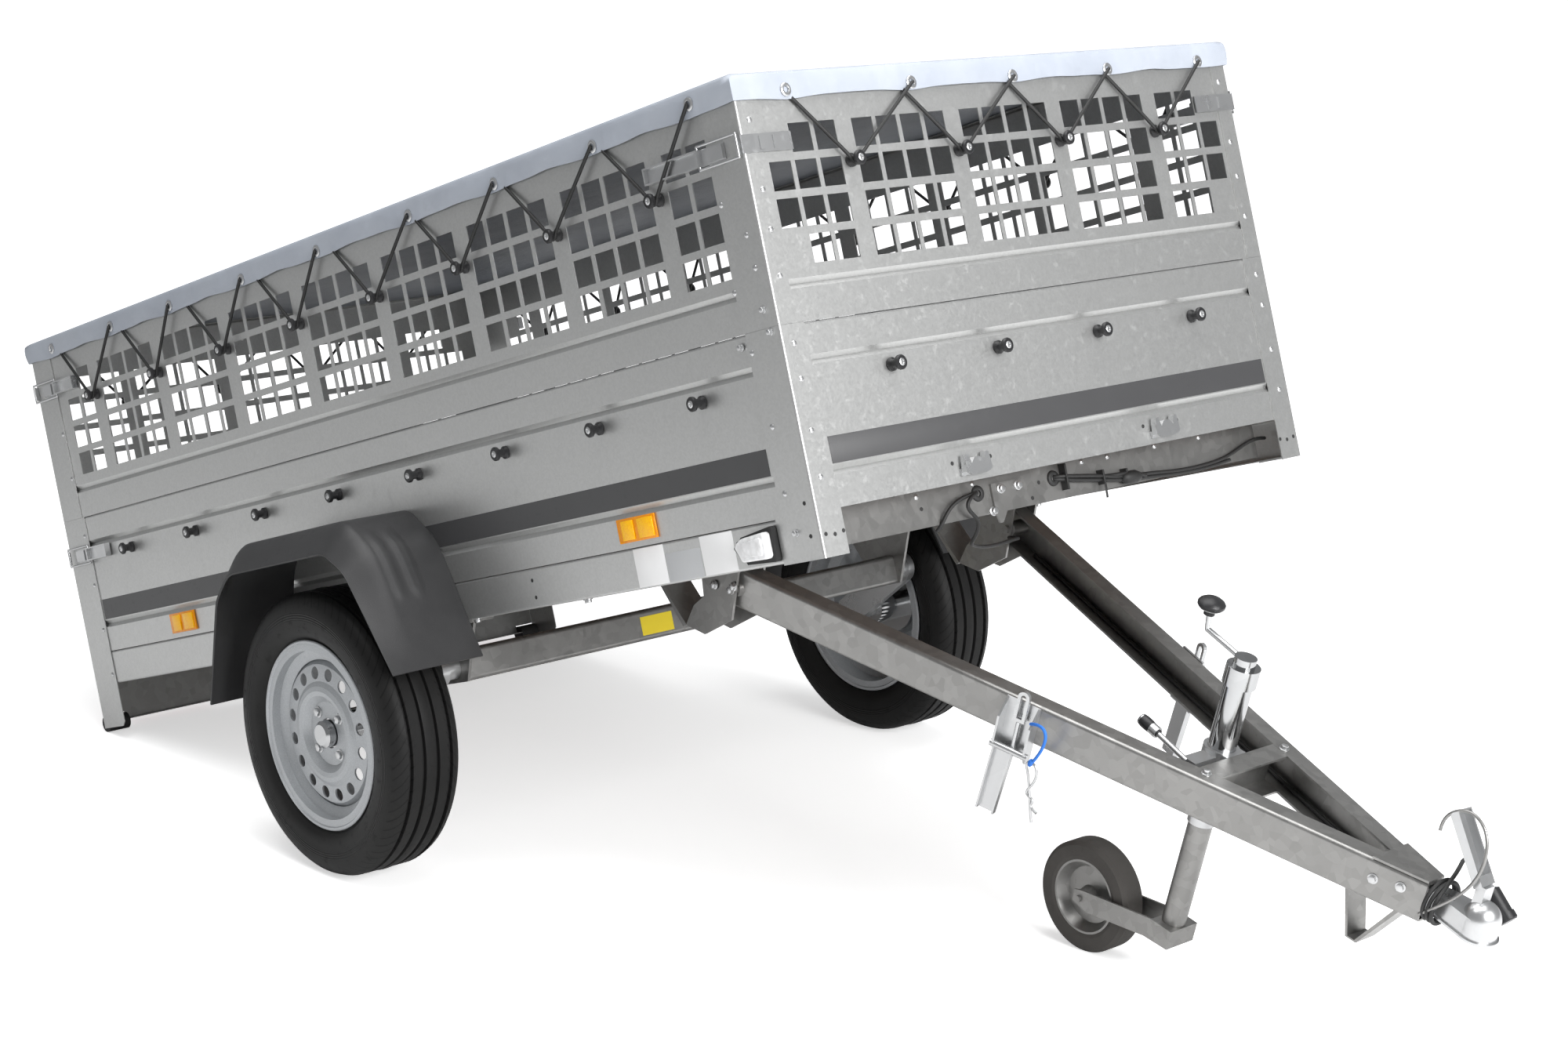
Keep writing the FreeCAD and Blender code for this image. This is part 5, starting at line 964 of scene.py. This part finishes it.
def pressed(across, height, forward):
    """Height of the ribs above the guard's skin: each is a low pad with a rounded lower end."""
    if not forward or height > RIB_TOP or height < RIB_FOOT - 12:
        return 0.0
    lift = 0.0
    for centre, half in RIBS:
        end = max(0.0, RIB_FOOT + half - height)
        inside = half - math.hypot(across - centre, end)
        fade = min(1.0, (RIB_TOP - height) / 40.0)
        lift = max(lift, RIB_LIFT * min(1.0, max(0.0, inside / RIB_SLOPE)) * fade)
    return lift


# Each section is (distance from the middle line, share of the way from the roof to the lip).
SECTIONS = [(596.0 + 6.0 * step, 0.0) for step in range(24)]
SECTIONS += [(738.0, 0.01), (743.0, 0.05), (748.5, 0.12), (754.0, 0.2), (761.0, 0.33), (770.0, 0.52),
             (779.0, 0.71), (787.0, 0.88), (793.0, 1.0)]
select_only()
bpy.ops.mesh.primitive_grid_add(x_subdivisions=len(ROOF_CURVE) - 1, y_subdivisions=len(SECTIONS) - 1, size=2,
                                location=(0, 0, 0))
guard = named("mudguard_shells")
for vertex in guard.data.vertices:
    index = round((vertex.co.x + 1) / 2 * (len(ROOF_CURVE) - 1))
    across, slide = SECTIONS[round((vertex.co.y + 1) / 2 * (len(SECTIONS) - 1))]
    reach, height = ROOF_CURVE[index]
    lip_reach, lip_height = along_outline(ROUND_LIP, LIP_MEASURE, lip_share(ROOF_MEASURE[index]))
    lift = pressed(across, height, reach > 0)
    slope = math.atan2(height + 200.0, reach)
    x = GUARD_X + reach + (lip_reach - reach) * slide + lift * math.cos(slope)
    z = height + (lip_height - height) * slide + lift * math.sin(slope)
    vertex.co = (x * MM, -across * MM, z * MM)
select_only(guard)
turn_faces_out()
skin = guard.modifiers.new("skin", "SOLIDIFY")
skin.thickness = 4.0 * MM
skin.offset = -1
bpy.ops.object.modifier_apply(modifier=skin.name)
guards = fit(mirrored_pair(guard), BOX, "bed", guard_plastic, 40)
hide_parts("mudguards")

# %% [markdown]
# Each lacing knob is held by a pan-head screw, which shows as a steel disc in the knob's end.

# %% Knob screws
LOWER_KNOBS = [-222.6 - 283.3 * index for index in range(8)]
LOWER_HEIGHT = 283.0
KNOB_END, FRONT_KNOB_END, REAR_KNOB_END = 623.1, 24.9, -2515.0
screw = turned("screw", [(-1.0, 6.2), (0.2, 6.2), (0.9, 5.2), (1.1, 3.4), (0.3, 2.6), (0.3, 0.0)], 18)
spots = [(x, KNOB_HEIGHT) for x in SIDE_KNOBS] + [(x, LOWER_HEIGHT) for x in LOWER_KNOBS]
screw_places = on_both_sides(KNOB_END, spots)
for y in END_KNOBS:
    screw_places += [facing(FRONT_KNOB_END, y, z, (1, 0, 0)) for z in (KNOB_HEIGHT, LOWER_HEIGHT)]
    screw_places.append(facing(REAR_KNOB_END, y, KNOB_HEIGHT, (-1, 0, 0)))
fit(copies("knob_screws", screw, screw_places), BOX, "bed", plated)

# %% [markdown]
# Cables for the lamps leave the front channel through rubber grommets. One loops back under the
# channel, one runs under the bed to the left tilt bracket, and the others run bound together along
# the channel to the left lamp. Points are (along, across, up) in the box's frame.

# %% Lamp cables and grommets
WEB = -64.0
CABLE = 3.4
GROMMET = [(-1.0, 5.0), (3.0, 5.5), (4.0, 8.0), (3.0, 13.0), (0.5, 14.0), (-0.5, 14.0)]
grommets = copies("grommets", turned("grommet", GROMMET, 24),
                  [facing(WEB + 0.3, y, z, (1, 0, 0)) for y, z in ((-178, 48.5), (8, 48))])
routes = [
    [(-70, -178, 50), (-54, -184, 51), (-46, -206, 50), (-48, -238, 46), (-54, -266, 30),
     (-60, -277, 8), (-72, -280, 0)],
    [(-70, -178, 46), (-52, -188, 50), (-42, -212, 48), (-42, -230, 34), (-46, -220, 20),
     (-54, -196, 6), (-68, -188, -12), (-92, -182, -28), (-120, -165, -36), (-190, -62, -48),
     (-280, 80, -50), (-360, 190, -49), (-430, 272, -54), (-500, 311, -50)],
    [(-70, 8, 50), (-54, 14, 50), (-50, 36, 46), (-52, 112, 37), (-54, 154, 28), (-56, 208, 24),
     (-58, 259, 22), (-60, 340, 14), (-60, 455, 18), (-58, 500, 34), (-58, 548, 47), (-62, 580, 42)],
    [(-70, 8, 46), (-56, 14, 45), (-54, 40, 39), (-56, 110, 30), (-56, 160, 22), (-58, 210, 18),
     (-60, 262, 15), (-61, 330, 10), (-61, 420, 10), (-61, 470, 16)],
    [(-70, 10, 48), (-58, 18, 48), (-58, 60, 43), (-56, 120, 33), (-52, 170, 32), (-50, 196, 30),
     (-52, 230, 20)],
]
cables = [wire("cable", route, CABLE, order=4) for route in routes]
ties = [plate("tie", (-66, y - 2, low), (-48, y + 2, high))
        for y, low, high in ((28, 24, 70), (120, 20, 46), (180, 14, 40))]
TIE_END = [(116, -4), (121, -4), (123, 26), (118, 26)]
ties.append(placed(slab("tie_end", TIE_END, 1.4, 0.4, 1), on_front(-50)))
SLEEVE = [(0, 0), (2, 7), (12, 11), (34, 12), (46, 8), (50, 0)]
sleeve = turned("cable_joint", SLEEVE, 18, (-54, 168, 24), (0, 1, -0.05))
fit(joined("lamp_cables", [grommets, sleeve] + cables + ties), BOX, "bed", black_cord, 60)

# %% [markdown]
# Bolts hold the tilt brackets, the guide plate and the nose plate, and a few hang under the rails.
# Holes that were drilled and left free are shallow black discs, painted shade for the dark inside each
# hole.

# %% Bolts of the frame and drawbar, and free holes
def on_face(face, spots):
    """Places facing forward at (across, up) spots."""
    return [facing(face, y, z, (1, 0, 0)) for y, z in spots]


frame_bolts = on_face(-59.4, ((-126, 49), (-84, 49))) + on_face(WEB + 0.3, ((-149, 14),))
frame_bolts += on_both_sides(383.4, ((-547, -20), (-496, -29), (-505, -34)))
frame_bolts += [facing(x, side * 575.0, -0.6, (0, 0, -1)) for side in SIDES for x in (-664, -1010)]
fit(copies("frame_bolts", bolt_pattern(8.0), frame_bolts), BOX, "bed", plated)
edge_rivets = on_face(WEB + 0.3, ((-319, 63), (-186, 66), (86, 66), (153, 66), (279, 68), (400, 68)))
fit(copies("channel_rivets", rivet_pattern(), edge_rivets), BOX, "bed", plated)
# Each free hole is a black disc of painted shade lying on the surface, not an opening.
hole_shade_disc = turned("hole", [(-0.3, 3.6), (0.25, 3.5), (0.25, 0.0)], 16)
hole_places = on_both_ends_of(0.0, ((586, 35), (567, 32), (548, 35)))
hole_places += on_both_sides(PANEL_FACE + 0.1, ((-788, 50), (-786, 19)))
hole_places += on_both_sides(POST_FACE + 0.1, ((-23, 89), (-23, 36)))
hole_places += on_face(FRONT_PANEL + 0.1, ((-282, 106), (-192, 106), (192, 106), (282, 106)))
hole_places += on_face(WEB + 0.2, ((-312, 42), (-28, 46), (-50, 22)))
fit(copies("hole_shade_discs", hole_shade_disc, hole_places), BOX, "bed", black_rubber_and_hole_shade)

SPREAD = 0.2748
ARM_NORMAL = Vector((SPREAD, 1, 0)).normalized()


def on_arm(side, along, up):
    """A place on the outer face of a drawbar arm, facing out."""
    return facing(along, side * (367.0 - SPREAD * along), up, (ARM_NORMAL.x, side * ARM_NORMAL.y, 0))


drawbar_bolts = [on_arm(side, along, up) for side in SIDES for along, up in ((1179, -32), (1223, -25))]
drawbar_bolts += [facing(865, side * 100, 0.2, (0, 0, 1)) for side in SIDES]
fit(copies("drawbar_bolts", bolt_pattern(8.5), drawbar_bolts), BAR, "drawbar", plated)

# %% [markdown]
# A spring clip hangs by a blue cord beside the right arm clamp, whose lever it locks on the road.
# The clip is one bent wire: a straight leg, a round eye and a wavy leg.

# %% Spring clip and its cord
CLIP = [(642, -186), (639, -180), (626, -140), (612, -104), (606, -95), (608, -86), (616, -84),
        (625, -88), (631, -100), (628, -118), (617.5, -138), (622, -144), (633, -146), (635, -152),
        (631, -157), (636, -163), (647, -166)]
clip = wire("spring_clip", [(u, -232.0 + 0.1 * (u - 610), w) for u, w in CLIP], 2.2)
fit(clip, BAR, "drawbar", plated, 60)
CLIP_CORD = [(588, -224, -27), (600, -230, -19), (620, -232, -12), (634, -233, -24), (632, -233, -50),
             (622, -233, -74), (612, -232, -92)]
KNOT = [(0, 0), (1, 4.5), (7, 5.2), (12, 3.4), (13, 0)]
blue = wire("clip_cord", CLIP_CORD, 2.8, order=4)
knot = turned("cord_knot", KNOT, 14, (616, -232, -80), (-0.4, 0, -1))
fit(joined("clip_cord", [blue, knot]), BAR, "drawbar", blue_cord, 60)

# %% [markdown]
# A thin steel lanyard is looped over the coupler's raised handle and hangs down its right side, for
# the towing car's eye.

# %% Lanyard
LOOP = [(1253, -20, 93), (1250, -18, 112), (1262, -14, 134), (1290, -8, 146), (1322, -10, 132),
        (1338, -16, 104), (1342, -20, 70), (1334, -28, 36), (1316, -38, 6), (1290, -40, -24),
        (1266, -28, -50)]
fit(wire("safety_lanyard", LOOP, 2.8, order=4), BAR, "drawbar", dark_zinc_and_shade, 60)

# %% [markdown]
# A blank yellow label is stuck to the axle tube, right of the middle.

# %% Axle label
AXLE_FRONT = -1100.0
outline = [(-136, -103), (-56, -103), (-56, -66), (-136, -66)]
axle_label = placed(slab("axle_label", outline, 0.4, 0.12, 1), on_front(AXLE_FRONT))
fit(axle_label, BOX, "bed", yellow_label)

# %% [markdown]
# The light is that of a plain studio: a pale floor, a large soft lamp above, one at the front that
# lifts the front panel over the side, and an even world. The world is white only where the camera
# sees it, straight or through glass. The floor lifts to white with distance, for the camera alone,
# and keeps the trailer's shadow.

# %% Floor and lights
select_only()
bpy.ops.mesh.primitive_circle_add(vertices=96, radius=400, fill_type="NGON", location=(0, 0, 0))
floor = named("studio_floor")
floor_finish, tree, shader = new_material("studio floor", (0.95, 0.95, 0.95))
path = tree.nodes.new("ShaderNodeLightPath")
spot = object_place(tree)
distance = add_node(tree, "ShaderNodeVectorMath", {0: spot}, operation="LENGTH").outputs["Value"]
lift = times(tree, path.outputs["Is Camera Ray"], ramp(tree, distance, 0.55, 1.0, 2.5, 7.0))
fill(tree, shader, {"Base Color": (0.96, 0.96, 0.96, 1), "Roughness": 0.9, "Specular IOR Level": 0.1,
                    "Emission Color": (1, 1, 1, 1), "Emission Strength": lift})
floor.data.materials.append(floor_finish)


def soft_lamp(name, place, target, size, power):
    data = bpy.data.lights.new(name, "AREA")
    data.shape = "RECTANGLE"
    data.size, data.size_y = size
    data.energy = power
    lamp = bpy.data.objects.new(name, data)
    bpy.context.scene.collection.objects.link(lamp)
    lamp.location = place
    lamp.rotation_euler = (Vector(target) - Vector(place)).to_track_quat("-Z", "Y").to_euler()


soft_lamp("overhead softbox", (0.5, -0.5, 5.0), (0, 0, 0.8), (5.0, 4.0), 270)
soft_lamp("front softbox", (6.0, -0.5, 2.8), (0.6, 0, 0.9), (3.5, 2.5), 420)
world = bpy.data.worlds.new("studio")
bpy.context.scene.world = world
world.use_nodes = True
tree = world.node_tree
tree.nodes.clear()
path = tree.nodes.new("ShaderNodeLightPath")
seen = math_node(tree, "MAXIMUM", path.outputs["Is Camera Ray"], path.outputs["Is Transmission Ray"])
light = add_node(tree, "ShaderNodeBackground", {"Color": (0.97, 0.985, 1.0, 1), "Strength": 0.31})
white = add_node(tree, "ShaderNodeBackground", {"Color": (1, 1, 1, 1), "Strength": 1.0})
mixed = add_node(tree, "ShaderNodeMixShader", {0: seen, 1: light.outputs[0], 2: white.outputs[0]})
add_node(tree, "ShaderNodeOutputWorld", {"Surface": mixed.outputs[0]})
print("studio ready")
